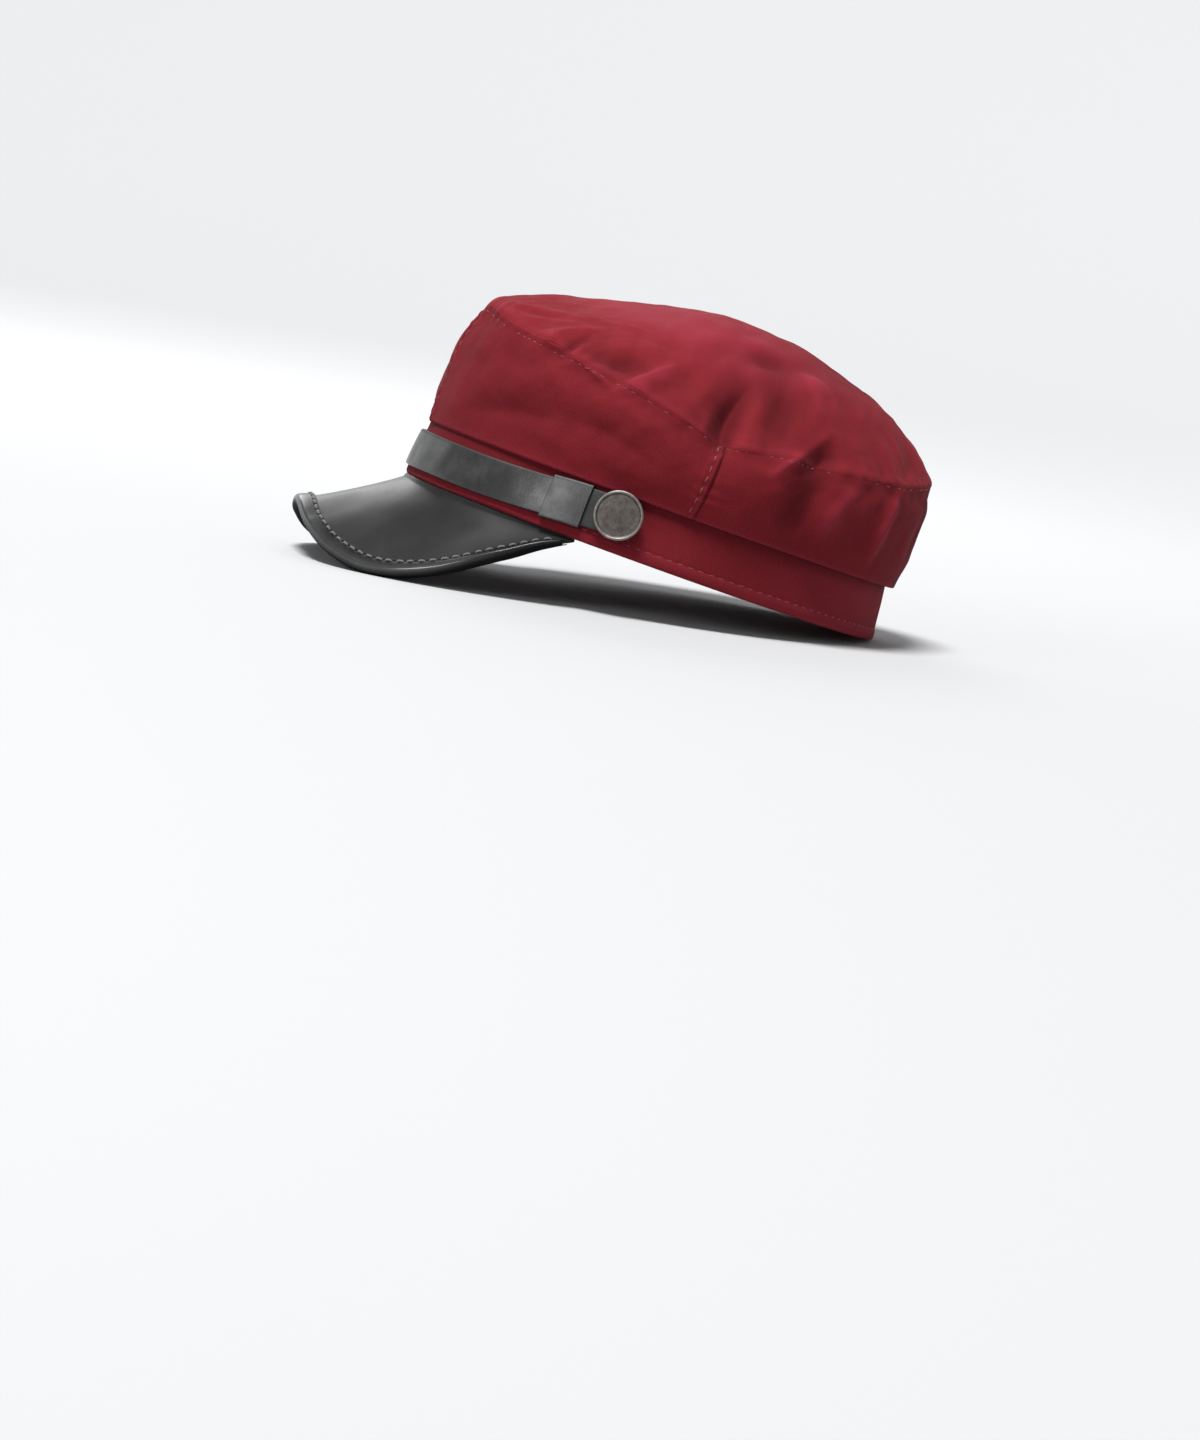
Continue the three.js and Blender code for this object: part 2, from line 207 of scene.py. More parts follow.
@dataclass(frozen=True)
class CapForm:
    """The surfaces that all pieces share: the rim's oval, the band and the plain crown."""

    front: float = 99.8
    side: float = 85.0
    back: float = 99.8
    egg: float = 0.03
    lean: float = 0.12
    band_top: float = 25.4
    crown_low: float = 22.3
    wall_run: float = 40.0
    tip_run: float = 95.0
    fold_radius: float = 92.0
    middle_y: float = 6.0
    middle_z: float = 101.8
    lift_inward: float = 2.2
    lift_at_seam: float = 40.0
    wall: Table = Table(
        ("share", "front", "side", "back"),
        (
            (0.0, 98.2, 84.3, 100.9),
            (0.25, 98.3, 87.2, 102.4),
            (0.5, 97.7, 89.0, 102.5),
            (0.75, 96.0, 88.4, 102.6),
            (1.0, 92.0, 86.4, 100.0),
        ),
    )
    tip_seam: Table = Table(
        ("angle", "height", "roundness", "edge_lift"),
        (
            (0, 73.0, 1.5, 0.17),
            (20, 69.2, 1.6, 0.13),
            (45, 65.2, 1.9, 0.07),
            (65, 60.9, 2.1, 0.03),
            (77, 57.0, 2.2, 0.0),
            (89, 53.6, 2.2, 0.0),
            (101, 57.0, 2.3, 0.0),
            (115, 58.6, 2.3, 0.0),
            (140, 62.4, 2.45, 0.0),
            (165, 67.0, 2.75, 0.0),
            (180, 68.2, 2.85, 0.0),
        ),
    )

    def signed_angle(self, angle: Array) -> Array:
        """Angle from the centre front, -180 to 180, above 0 on the wearer's left."""
        return (np.asarray(angle, float) + 180) % 360 - 180

    def side_angle(self, angle: Array) -> Array:
        """Angle from the centre front, 0 to 180, the same on both sides."""
        return np.abs(self.signed_angle(angle))

    def run(self, angle: Array) -> Array:
        """Length round the cap at an angle, on a circle of the folds' radius."""
        return np.radians(angle) * self.fold_radius

    def oval(self, angle: Array, front: Values, side: Values, back: Values, z: Values) -> Array:
        """Plan of every ring: x = side sin(a) (1 - egg cos(a)), y = -length cos(a).

        Args:
            angle: place round the ring.
            front: half length forward of the middle.
            side: half width.
            back: half length behind the middle.
            z: height.

        Returns:
            Points, with x, y and z last.
        """
        c, s = np.cos(np.radians(angle)), np.sin(np.radians(angle))
        x = side * s * (1 - self.egg * c)
        y = -np.where(c > 0, front, back) * c
        return np.stack(np.broadcast_arrays(x, y, z), axis=-1)

    def band(self, angle: Array, z: Array, out: Values = 0.0) -> Array:
        """The band's outer face, leaning in by lean times the height, moved out by out."""
        inset = self.lean * z - out
        return self.oval(angle, self.front - inset, self.side - inset, self.back - inset, z)

    def crown(self, angle: Array, up: Array) -> Array:
        """The crown without its folds.

        Formula: up to the tip seam an oval from the wall table, rising evenly.
        Past it the oval shrinks towards the middle of the tip and rises by
        1 - radius ^ roundness of the dome's height, with a lift near the seam.

        Args:
            angle: place round the rim.
            up: distance over the cloth.

        Returns:
            Points, with x, y and z last.
        """
        angle, up = np.broadcast_arrays(np.asarray(angle, float), np.asarray(up, float))
        turn = self.side_angle(angle)
        seam = self.tip_seam.at("height", turn)
        share = np.minimum(up / self.wall_run, 1)
        sizes = [self.wall.at(name, share) for name in ("front", "side", "back")]
        point = self.oval(angle, *sizes, self.crown_low + share * (seam - self.crown_low))
        radius = self.radius(up)
        lift = self.tip_seam.at("edge_lift", turn)
        fade = radius**self.lift_inward * (1 - radius**self.lift_at_seam)
        dome = 1 - radius ** self.tip_seam.at("roundness", turn) + lift * fade
        top = np.stack(
            [
                point[..., 0] * radius,
                self.middle_y + (point[..., 1] - self.middle_y) * radius,
                seam + (self.middle_z - seam) * dome,
            ],
            axis=-1,
        )
        return np.where((up > self.wall_run)[..., None], top, point)

    def radius(self, up: Array) -> Array:
        """Share of the crown's radius: 1 on the wall, 0 in the middle of the tip."""
        return np.clip(1 - (up - self.wall_run) / self.tip_run, 0, 1)

    def normal(self, surface: Surface, angle: Array, up: Array, step: float = 1.0) -> Array:
        """Outward normal of a surface, across its two directions.

        Args:
            surface: function of the angle and the distance over the surface.
            angle: first parameter.
            up: second parameter.
            step: half the distance over which the slopes are taken.

        Returns:
            Unit normals.
        """
        along = surface(angle + step, up) - surface(angle - step, up)
        upward = surface(angle, up + 0.8 * step) - surface(angle, up - 0.8 * step)
        return unit(np.cross(along, upward))


FORM = CapForm()


# Meshes from grids of points


def quads(rows: int, columns: int) -> Array:
    """Corners of the faces between a grid's points, four to a face.

    Args:
        rows: how many rows of points the grid has.
        columns: how many points are in a row.

    Returns:
        The numbers of four points for each face.
    """
    index = np.arange(rows * columns).reshape(rows, columns)
    corners = [index[:-1, :-1], index[1:, :-1], index[1:, 1:], index[:-1, 1:]]
    return np.stack([c.ravel() for c in corners], axis=-1)


def wrapped(outer: Array, inner: Array) -> Array:
    """Each section's outer chain, its inner one back, and its first point again."""
    return np.concatenate([outer, inner[:, ::-1], outer[:, :1]], axis=1)


def close_up(mesh: Mesh) -> None:
    """Merges the points that a mesh has twice, and drops what closed to a line.

    Args:
        mesh: the mesh, which is shaded smooth too.
    """
    work = bmesh.new()
    work.from_mesh(mesh)
    bmesh.ops.remove_doubles(work, verts=work.verts, dist=SAME_POINT)
    bmesh.ops.dissolve_degenerate(work, edges=work.edges, dist=SAME_POINT)
    loose = [v for v in work.verts if not v.link_faces]
    bmesh.ops.delete(work, geom=loose, context="VERTS")
    work.to_mesh(mesh)
    work.free()
    mesh.polygons.foreach_set("use_smooth", np.ones(len(mesh.polygons), bool))


@dataclass
class Skin:
    """A grid of points and what is known at each of them.

    A skin that closes on itself has its first row or column again at its end,
    so the cloth's pattern runs on over the join.
    """

    points: Array
    pattern: Array
    marks: dict[str, Array] = field(default_factory=dict)


class Body:
    """A closed piece sewn from skins: their shared edges become one edge."""

    def __init__(self, name: str) -> None:
        """Starts an empty piece with this name."""
        self.name = name
        self.skins: list[Skin] = []

    def add(self, *skins: Skin) -> Body:
        """Adds skins and gives the piece back."""
        self.skins.extend(skins)
        return self

    def close_ends(self, outer: Array, inner: Array, flat: Array) -> Body:
        """Closes the first and the last section of a panel or strip, facing outward.

        Args:
            outer: outer chains, one for each station.
            inner: inner chains, of as many points.
            flat: pattern of the outer chains.

        Returns:
            The piece.
        """
        inside = flat + (0, 2)
        first = Skin(np.stack([inner[0], outer[0]]), np.stack([inside[0], flat[0]]))
        last = Skin(np.stack([outer[-1], inner[-1]]), np.stack([flat[-1], inside[-1]]))
        return self.add(first, last)

    def finish(self, material: Material) -> Piece:
        """Makes the Blender object, in the row frame, in metres.

        The piece is closed, so the sign of its volume says whether its faces
        have to be turned as a whole to look outward.

        Args:
            material: the piece's finish.

        Returns:
            The object, at the origin, with its place in its mesh.
        """
        points, faces, pattern, marks = self._collect()
        if self._volume(points, faces) < 0:
            faces, pattern = faces[:, ::-1], pattern[:, ::-1]
        mesh = bpy.data.meshes.new(self.name)
        mesh.vertices.add(len(points))
        mesh.vertices.foreach_set("co", REST.place(points).astype(np.float32).ravel())
        mesh.loops.add(faces.size)
        mesh.loops.foreach_set("vertex_index", faces.astype(np.int32).ravel())
        mesh.polygons.add(len(faces))
        mesh.polygons.foreach_set("loop_start", np.arange(0, faces.size, 4, dtype=np.int32))
        mesh.uv_layers.new(name=PATTERN)
        mesh.uv_layers[PATTERN].data.foreach_set("uv", pattern.astype(np.float32).ravel())
        for key, values in marks.items():
            mesh.attributes.new(key, "FLOAT", "POINT").data.foreach_set("value", values)
        mesh.update(calc_edges=True)
        mesh.validate()
        close_up(mesh)
        mesh.materials.append(material)
        piece = bpy.data.objects.new(self.name, mesh)
        bpy.context.scene.collection.objects.link(piece)
        return piece

    def _collect(self) -> tuple[Array, Array, Array, dict[str, Array]]:
        """All skins as one list of points and one of faces of four corners.

        Returns:
            Points, corner indices, pattern at each corner, and marks at each point.
        """
        points, faces, pattern = [], [], []
        keys = sorted({key for skin in self.skins for key in skin.marks})
        marks: dict[str, list[Array]] = {key: [] for key in keys}
        base = 0
        for skin in self.skins:
            rows, columns = skin.points.shape[:2]
            corners = quads(rows, columns)
            points.append(skin.points.reshape(-1, 3))
            faces.append(corners + base)
            pattern.append(skin.pattern.reshape(-1, 2)[corners])
            for key in keys:
                values = skin.marks.get(key, np.zeros((rows, columns)))
                marks[key].append(np.broadcast_to(values, (rows, columns)).ravel())
            base += rows * columns
        joined = {key: np.concatenate(parts).astype(np.float32) for key, parts in marks.items()}
        return np.concatenate(points), np.concatenate(faces), np.concatenate(pattern), joined

    def _volume(self, points: Array, faces: Array) -> float:
        """Volume inside the faces: the sum of a . (b x c) / 6 over their triangles.

        Args:
            points: all points.
            faces: numbers of four points for each face.

        Returns:
            The volume, below 0 if the faces look inward.
        """
        a, b, c, d = (points[faces[:, i]] for i in range(4))
        first = np.einsum("ij,ij->i", a, np.cross(b, c))
        second = np.einsum("ij,ij->i", a, np.cross(c, d))
        return float((first + second).sum() / 6)


@dataclass(frozen=True)
class Stitching:
    """A row of single stitches of twisted thread, each dipping in at its ends.

    "sunk" is how far the row lies in the cloth, "buried" the most thicknesses
    that a single stitch is pulled in besides, and "dip" those of its ends.
    "uneven" is the spread of the lengths as a share, "sway" the spread of the
    places and slants, and "flat" the thread's height as a share of its width.
    """

    length: float
    gap: float
    thick: float
    sunk: float
    seed: int
    buried: float = 0.0
    sway: float = 0.12
    uneven: float = 0.05
    dip: float = 0.3
    flat: float = 0.8
    rings: int = 7
    sides: int = 6

    def sew(self, name: str, path: Array, normal: Array, material: Material) -> Piece:
        """Makes one mesh of all stitches along a path.

        Formula: a stitch is a tube along t from -1 to 1. Its radius is half the
        thread's thickness times (1 - t^6)^0.5. Its middle line lies above the
        cloth by half the thickness times 1 - t^4, less what it is sunk, and its
        ends go down into the cloth by the dip times t^4.

        Args:
            name: name of the row.
            path: points on the cloth, close together, in order.
            normal: the cloth's outward normal at each point.
            material: the thread's finish.

        Returns:
            The row of stitches as one object.
        """
        run = np.concatenate([[0], np.cumsum(np.linalg.norm(np.diff(path, axis=0), axis=1))])
        pitch = self.length + self.gap
        count = max(1, int(run[-1] // pitch))
        rng = np.random.default_rng(self.seed)
        middle = (np.arange(count) + 0.5) * (run[-1] / count)
        middle = middle + rng.normal(0, self.sway, count)
        half = 0.5 * self.length * (1 + rng.normal(0, self.uneven, count))
        t = np.sin(np.linspace(-90, 90, self.rings) * math.pi / 180)
        at = middle[:, None] + half[:, None] * t
        spine = np.stack([np.interp(at, run, path[:, k]) for k in range(3)], axis=-1)
        up = unit(np.stack([np.interp(at, run, normal[:, k]) for k in range(3)], axis=-1))
        along = unit(np.gradient(spine, axis=1))
        aside = np.cross(up, along)
        slant = rng.normal(0, self.sway, count)[:, None] * t
        rise = self.thick * (0.5 * (1 - t**4)) - self.sunk - self.dip * self.thick * t**4
        depth = self.buried * self.thick * rng.uniform(0, 1, count) ** 1.5
        spine = spine + up * (rise - depth[:, None])[..., None] + aside * slant[..., None]
        radius = 0.5 * self.thick * np.sqrt(np.maximum(1 - t**6, 0))
        around = np.linspace(0, 2 * math.pi, self.sides + 1)
        ring = (
            aside[:, :, None, :] * np.cos(around)[None, None, :, None]
            + up[:, :, None, :] * self.flat * np.sin(around)[None, None, :, None]
        )
        points = spine[:, :, None, :] + ring * radius[None, :, None, None]
        body = Body(name)
        u = np.broadcast_to(at[:, :, None], points.shape[:3])
        v = np.broadcast_to(around[None, None, :], points.shape[:3])
        pattern = np.stack([u, v], axis=-1)
        for stitch, coordinates in zip(points, pattern):
            body.add(Skin(stitch, coordinates))
        return body.finish(material)


# Materials


class Wire:
    """A shader socket. Each operator used on it adds one Math node."""

    def __init__(self, graph: Graph, socket: bpy.types.NodeSocket) -> None:
        """Wraps a socket of a material's graph."""
        self.graph = graph
        self.socket = socket

    def maths(self, operation: str, *others: Wire | float) -> Wire:
        """A Math node of that operation on this socket and the others."""
        values = dict(enumerate((self, *others)))
        return self.graph.node("ShaderNodeMath", {"operation": operation}, values)[0]

    def __add__(self, other: Wire | float) -> Wire:
        """Sum."""
        return self.maths("ADD", other)

    __radd__ = __add__

    def __mul__(self, other: Wire | float) -> Wire:
        """Product."""
        return self.maths("MULTIPLY", other)

    __rmul__ = __mul__

    def __sub__(self, other: Wire | float) -> Wire:
        """Difference."""
        return self.maths("SUBTRACT", other)

    def __rsub__(self, other: float) -> Wire:
        """A number less this socket."""
        return self.maths("MULTIPLY", -1.0).maths("ADD", other)

    def sine(self) -> Wire:
        """Sine of this socket, in radians."""
        return self.maths("SINE")

    def held(self) -> Wire:
        """This socket kept between 0 and 1."""
        return self.maths("MAXIMUM", 0.0).maths("MINIMUM", 1.0)

    def step(self, low: float, high: float) -> Wire:
        """Smooth step from 0 at low to 1 at high."""
        settings = {"interpolation_type": "SMOOTHSTEP"}
        return self.graph.node("ShaderNodeMapRange", settings, {0: self, 1: low, 2: high})[0]


class Outputs:
    """The outputs of a node, taken by name or number."""

    def __init__(self, graph: Graph, made: bpy.types.Node) -> None:
        """Wraps a node of a material's graph."""
        self.graph = graph
        self.made = made

    def __getitem__(self, key: str | int) -> Wire:
        """One output as a wire."""
        return Wire(self.graph, self.made.outputs[key])


Colour = tuple[float, float, float]


class Graph:
    """The nodes of one material."""

    def __init__(self, name: str) -> None:
        """Starts a material with an empty node tree.

        Args:
            name: the material's name.
        """
        self.material = bpy.data.materials.new(name)
        self.material.use_nodes = True
        self.tree = self.material.node_tree
        self.tree.nodes.clear()

    def node(
        self,
        kind: str,
        settings: dict[str, object] | None = None,
        sockets: dict[str | int, object] | None = None,
    ) -> Outputs:
        """Adds a node: its settings are set first, then its sockets.

        Args:
            kind: the node's type.
            settings: properties by name.
            sockets: a value or a wire for each socket, by name or number.

        Returns:
            The node's outputs.
        """
        made = self.tree.nodes.new(kind)
        for key, value in (settings or {}).items():
            setattr(made, key, value)
        for key, value in (sockets or {}).items():
            if isinstance(value, Wire):
                self.tree.links.new(value.socket, made.inputs[key])
            else:
                made.inputs[key].default_value = value
        return Outputs(self, made)

    def place(self) -> Wire:
        """The point on the object, in metres."""
        return self.node("ShaderNodeTexCoord")["Object"]

    def mark(self, name: str) -> Wire:
        """A number kept at each point of the mesh."""
        return self.node("ShaderNodeAttribute", {"attribute_name": name})["Fac"]

    def pattern(self) -> tuple[Wire, Wire, Outputs]:
        """Place on the flat cloth, in millimetres.

        Returns:
            The two distances and the UV Map node that they come from.
        """
        flat = self.node("ShaderNodeUVMap", {"uv_map": PATTERN})
        split = self.node("ShaderNodeSeparateXYZ", None, {0: flat["UV"]})
        return split["X"], split["Y"], flat

    def vector(self, x: Wire | float, y: Wire | float, z: Wire | float = 0.0) -> Wire:
        """Three numbers as one vector."""
        return self.node("ShaderNodeCombineXYZ", None, {0: x, 1: y, 2: z})[0]

    def noise(self, where: Wire, scale: float, detail: float = 2, rough: float = 0.5) -> Wire:
        """Cloudy noise from 0 to 1, with a cloud every 1 / scale."""
        sockets = {"Vector": where, "Scale": scale, "Detail": detail, "Roughness": rough}
        return self.node("ShaderNodeTexNoise", None, sockets)["Fac"]

    def mix(self, share: Wire | float, first: Wire | Colour, second: Wire | Colour) -> Wire:
        """Colour between two others.

        Args:
            share: 0 gives the first and 1 the second.
            first: a colour, or a wire that carries one.
            second: the same.

        Returns:
            The mixed colour.
        """
        ends = [c if isinstance(c, Wire) else (*c, 1.0) for c in (first, second)]
        settings = {"data_type": "RGBA"}
        return self.node("ShaderNodeMix", settings, {0: share, 6: ends[0], 7: ends[1]})[2]

    def bump(
        self, height: Wire, depth: float, strength: float, under: Wire | None = None
    ) -> Wire:
        """Normal of a relief.

        Args:
            height: the relief, 0 to 1.
            depth: what a height of 1 is, in millimetres.
            strength: share of the relief that shows.
            under: normal of a coarser relief below it.

        Returns:
            The bumped normal.
        """
        sockets = {"Height": height, "Distance": depth * MM, "Strength": strength}
        if under is not None:
            sockets["Normal"] = under
        return self.node("ShaderNodeBump", None, sockets)["Normal"]

    def surface(self, **sockets: object) -> Material:
        """Ends the material in a Principled shader.

        Args:
            sockets: values and wires by socket name, with _ for a space.

        Returns:
            The finished material.
        """
        named = {key.replace("_", " "): value for key, value in sockets.items()}
        shader = self.node("ShaderNodeBsdfPrincipled", None, named)
        self.node("ShaderNodeOutputMaterial", None, {"Surface": shader["BSDF"]})
        return self.material


def darker(colour: Colour, share: float) -> Colour:
    """The colour times a share."""
    return tuple(channel * share for channel in colour)


@dataclass(frozen=True)
class Twill:
    """Matt cotton twill: fine diagonal ribs, a soft nap, paler edges from wear, painted light and
    painted shade.

    "rib" and "yarn" are widths and "weave_depth" and "rumple_depth" heights, in
    millimetres. The shares say how far the mark of wear and painted light pales the
    colour, and how far the mark of painted shade darkens it.
    """

    name: str = "burgundy_twill"
    dark: Colour = (0.098, 0.0064, 0.0092)
    light: Colour = (0.186, 0.0128, 0.0192)
    # Pale colour for wear and for painted light.
    worn: Colour = (0.290, 0.0300, 0.0540)
    rib: float = 1.0
    yarn: float = 0.5
    weave_depth: float = 0.17
    rumple_depth: float = 0.5
    wear_and_light_share: float = 0.55
    painted_shade_share: float = 0.6
    painted_shade_dark: float = 0.4
    rough: float = 0.80

    def make(self) -> Material:
        """Builds the cloth.

        Formula: ribs run where the sum of both pattern distances is a whole
        number of rib widths. Yarns break each rib where the first distance
        less about a third of the second is a whole number of yarn widths. The
        nap is fine noise, a slub is noise drawn out along the first distance
        and a fibre is noise drawn out along the rib. The tone is a weighted sum
        of them and of cloudy noise, from the dark colour at 0 to the light one
        at 1.

        Returns:
            The material.
        """
        g = Graph(self.name)
        u, v, flat = g.pattern()
        place = g.place()
        wander = g.noise(flat["UV"], 0.09, 2) * 0.8
        rib = ((u + v + wander) * (2 * math.pi / self.rib)).sine() * 0.5 + 0.5
        yarn = ((u - v * 0.35) * (2 * math.pi / self.yarn)).sine() * 0.5 + 0.5
        nap = g.noise(flat["UV"], 2.3, 3, 0.6)
        slub = g.noise(g.vector(u * 0.12, v * 2.2), 1.0, 2)
        cloud = g.noise(place, 22.0, 3, 0.55)
        weave = rib * (yarn * 0.4 + 0.6)
        fibre = g.noise(g.vector((u + v) * 0.9, (u - v) * 0.16), 1.0, 3, 0.65)
        tone = (cloud * 0.5 + slub * 0.2 + nap * 0.25 + fibre * 0.35 + weave * 0.42 - 0.36).held()
        colour = g.mix(tone, self.dark, self.light)
        # Paler with wear at edges and seams, and with painted light on fold tops, the top of the
        # tip and the band's rear.
        worn = (g.mark(WEAR_AND_LIGHT) * (nap * 0.9 + 0.25)).held()
        colour = g.mix(worn * self.wear_and_light_share, colour, self.worn)
        # Painted shade: darker in folds and seams, on the wall, under the crown's edge and on the
        # band's front.
        deep = g.mark(PAINTED_SHADE).held()
        colour = g.mix(deep * self.painted_shade_share, colour, darker(self.dark, self.painted_shade_dark))
        rumple = g.bump(g.noise(place, 75.0, 4, 0.55), self.rumple_depth, 0.7)
        relief = g.bump(weave * 0.7 + nap * 0.45 + fibre * 0.3, self.weave_depth, 0.9, rumple)
        return g.surface(
            Base_Color=colour,
            Roughness=self.rough - worn * 0.08 + nap * 0.08,
            Normal=relief,
            Sheen_Weight=0.025,
            Sheen_Roughness=0.45,
            Sheen_Tint=(0.95, 0.35, 0.44, 1),
            Specular_IOR_Level=0.07,
        )


@dataclass(frozen=True)
class Leather:
    """Smooth coated leather: fine grain, soft unevenness, and scuffed edges.

    "gloss" is its least roughness and "shine" the level of its reflections.
    "grain" is a cell's width and "relief" its height, in millimetres. "coat" is
    the extra gloss where the mark of wear and painted highlight is set, and
    "mottle" the strength of its blotches.
    """

    name: str
    colour: Colour
    pale: Colour
    gloss: float
    shine: float
    grain: float = 0.9
    relief: float = 0.035
    coat: float = 0.0
    mottle: float = 0.35
    painted_shade_share: float = 0.9
    painted_shade_dark: float = 0.3

    def make(self) -> Material:
        """Builds the leather.

        Formula: the grain is the distance to the nearest of scattered points,
        a cell every grain millimetres, softened by noise. Scuffs are long thin
        noise. The colour is paler on rubbed edges and painted highlights, and
        darker where painted shade is set. Roughness rises in scuffs, on rubbed
        edges and painted highlights, and where painted shade is set.
        Blotches a centimetre wide, paler and glossier, make some leathers
        mottled.

        Returns:
            The material.
        """
        g = Graph(self.name)
        place = g.place()
        u, v, _ = g.pattern()
        sockets = {"Vector": place, "Scale": 1 / (self.grain * MM), "Randomness": 0.9}
        cell = g.node("ShaderNodeTexVoronoi", {"feature": "F1"}, sockets)["Distance"]
        fine = g.noise(place, 2600.0, 2)
        cloud = g.noise(place, 35.0, 3, 0.55)
        scuff = g.noise(g.vector(u * 0.05, v * 0.6), 1.0, 4, 0.65).step(0.55, 0.78)
        # Paler and glossier on rubbed edges, and along the binding's rim as a painted highlight.
        worn = (g.mark(WEAR_AND_LIGHT) * (cloud * 1.2 + 0.2)).held()
        blotch = (g.noise(place, 95.0, 3, 0.6) - 0.5) * self.mottle
        tone = (cloud * 0.5 + blotch * 1.3 + scuff * 0.07 + worn * 0.5 - 0.12).held()
        # Painted shade: darker where strap, keepers, peak and binding lie in shade.
        deep = g.mark(PAINTED_SHADE).held()
        colour = g.mix(tone, self.colour, self.pale)
        colour = g.mix(deep * self.painted_shade_share, colour, darker(self.colour, self.painted_shade_dark))
        swell = g.bump(cloud, 0.5, 0.35)
        relief = g.bump(1 - cell * 0.8 + fine * 0.3, self.relief, 0.7, swell)
        rough = self.gloss + cloud * 0.08 + scuff * 0.05 + worn * 0.06
        return g.surface(
            Base_Color=colour,
            Roughness=rough + deep * 0.4 - blotch * 0.25,
            Normal=relief,
            Coat_Weight=worn * self.coat,
            Coat_Roughness=0.18,
            Coat_IOR=1.8,
            Specular_IOR_Level=self.shine,
        )


@dataclass(frozen=True)
class Thread:
    """Twisted sewing thread: slanting plies, each "ply" millimetres long, and stray lint."""

    name: str
    colour: Colour
    pale: Colour
    ply: float

    def make(self) -> Material:
        """Builds the thread: plies where length and turn add up to whole plies.

        Returns:
            The material.
        """
        g = Graph(self.name)
        along, around, _ = g.pattern()
        ply = (along * (2 * math.pi / self.ply) + around).sine() * 0.5 + 0.5
        lint = g.noise(g.place(), 3500.0, 2)
        colour = g.mix((ply * 0.6 + lint * 0.4).held(), self.colour, self.pale)
        relief = g.bump(ply + lint * 0.4, 0.09, 0.9)
        return g.surface(
            Base_Color=colour, Roughness=0.62 + lint * 0.12, Normal=relief, Sheen_Weight=0.2
        )


@dataclass(frozen=True)
class AntiqueMetal:
    """Cast metal with a dark patina, rubbed bright on its raised rim."""

    name: str = "antique_silver"
    dark: Colour = (0.050, 0.043, 0.038)
    bright: Colour = (0.25, 0.225, 0.208)

    def make(self) -> Material:
        """Builds the metal: patina by noise, brightness by the rubbed mark.

        Returns:
            The material.
        """
        g = Graph(self.name)
        place = g.place()
        blotch = g.noise(place, 420.0, 4, 0.6)
        pits = g.noise(place, 2600.0, 3, 0.6)
        rubbed = (g.mark(WEAR_AND_LIGHT) * (blotch * 1.5 + 0.1) + blotch * 0.4 - 0.18).held()
        colour = g.mix(rubbed, self.dark, self.bright)
        relief = g.bump(blotch * 0.5 + pits * 0.5, 0.06, 0.8)
        return g.surface(
            Base_Color=colour,
            Metallic=0.92,
            Roughness=0.52 - rubbed * 0.1 + pits * 0.08,
            Normal=relief,
        )


@dataclass(frozen=True)
class PaleGround:
    """The pale seamless floor and backdrop."""

    name: str = "pale_ground"
    colour: Colour = (0.376, 0.379, 0.384)

    def make(self) -> Material:
        """Builds the ground: nearly even, with a trace of unevenness.

        Returns:
            The material.
        """
        g = Graph(self.name)
        cloud = g.noise(g.place(), 1.5, 2)
        colour = g.mix(cloud * 0.4, self.colour, tuple(min(1.0, c * 1.02) for c in self.colour))
        return g.surface(Base_Color=colour, Roughness=0.85, Specular_IOR_Level=0.2)


class Finish(Enum):
    """The finishes of the cap's pieces."""

    CLOTH = Twill()
    STRAP = Leather(
        "strap_black", (0.0072, 0.0072, 0.0068), (0.052, 0.0522, 0.0495), 0.27, 0.55, mottle=1.2
    )
    PEAK = Leather(
        "peak_black", (0.0092, 0.0092, 0.0092), (0.032, 0.032, 0.032), 0.29, 0.17, relief=0.022
    )
    BINDING = Leather(
        "binding_black",
        (0.0040, 0.0040, 0.0042),
        (0.040, 0.040, 0.041),
        0.30,
        0.07,
        relief=0.022,
        coat=1.0,
    )
    CLOTH_THREAD = Thread("burgundy_thread", (0.105, 0.0085, 0.0125), (0.172, 0.0185, 0.0265), 0.5)
    PEAK_THREAD = Thread("grey_thread", (0.038, 0.036, 0.033), (0.105, 0.099, 0.090), 0.75)
    METAL = AntiqueMetal()
    GROUND = PaleGround()

    def material(self) -> Material:
        """The finish's material, made when it is first asked for."""
        found = bpy.data.materials.get(self.value.name)
        return found or self.value.make()


# The folds of the crown


@dataclass(frozen=True)
class Swell:
    """A broad rise or dent of the crown: a turned bell, longer than it is wide."""

    angle: float
    up: float
    turn: float
    length: float
    width: float
    depth: float

    def height(self, angle: Array, up: Array) -> Array:
        """Height at each place: depth times a bell along and a bell across it.

        Args:
            angle: place round the rim.
            up: distance over the cloth.

        Returns:
            The height in millimetres, below 0 in a dent.
        """
        arc = math.radians(1) * FORM.fold_radius * FORM.radius(up)
        across = FORM.signed_angle(angle - self.angle) * arc
        rise = up - self.up
        c, s = math.cos(math.radians(self.turn)), math.sin(math.radians(self.turn))
        long = (across * c + rise * s) / self.length
        wide = (rise * c - across * s) / self.width
        return self.depth * np.exp(-long * long - wide * wide)


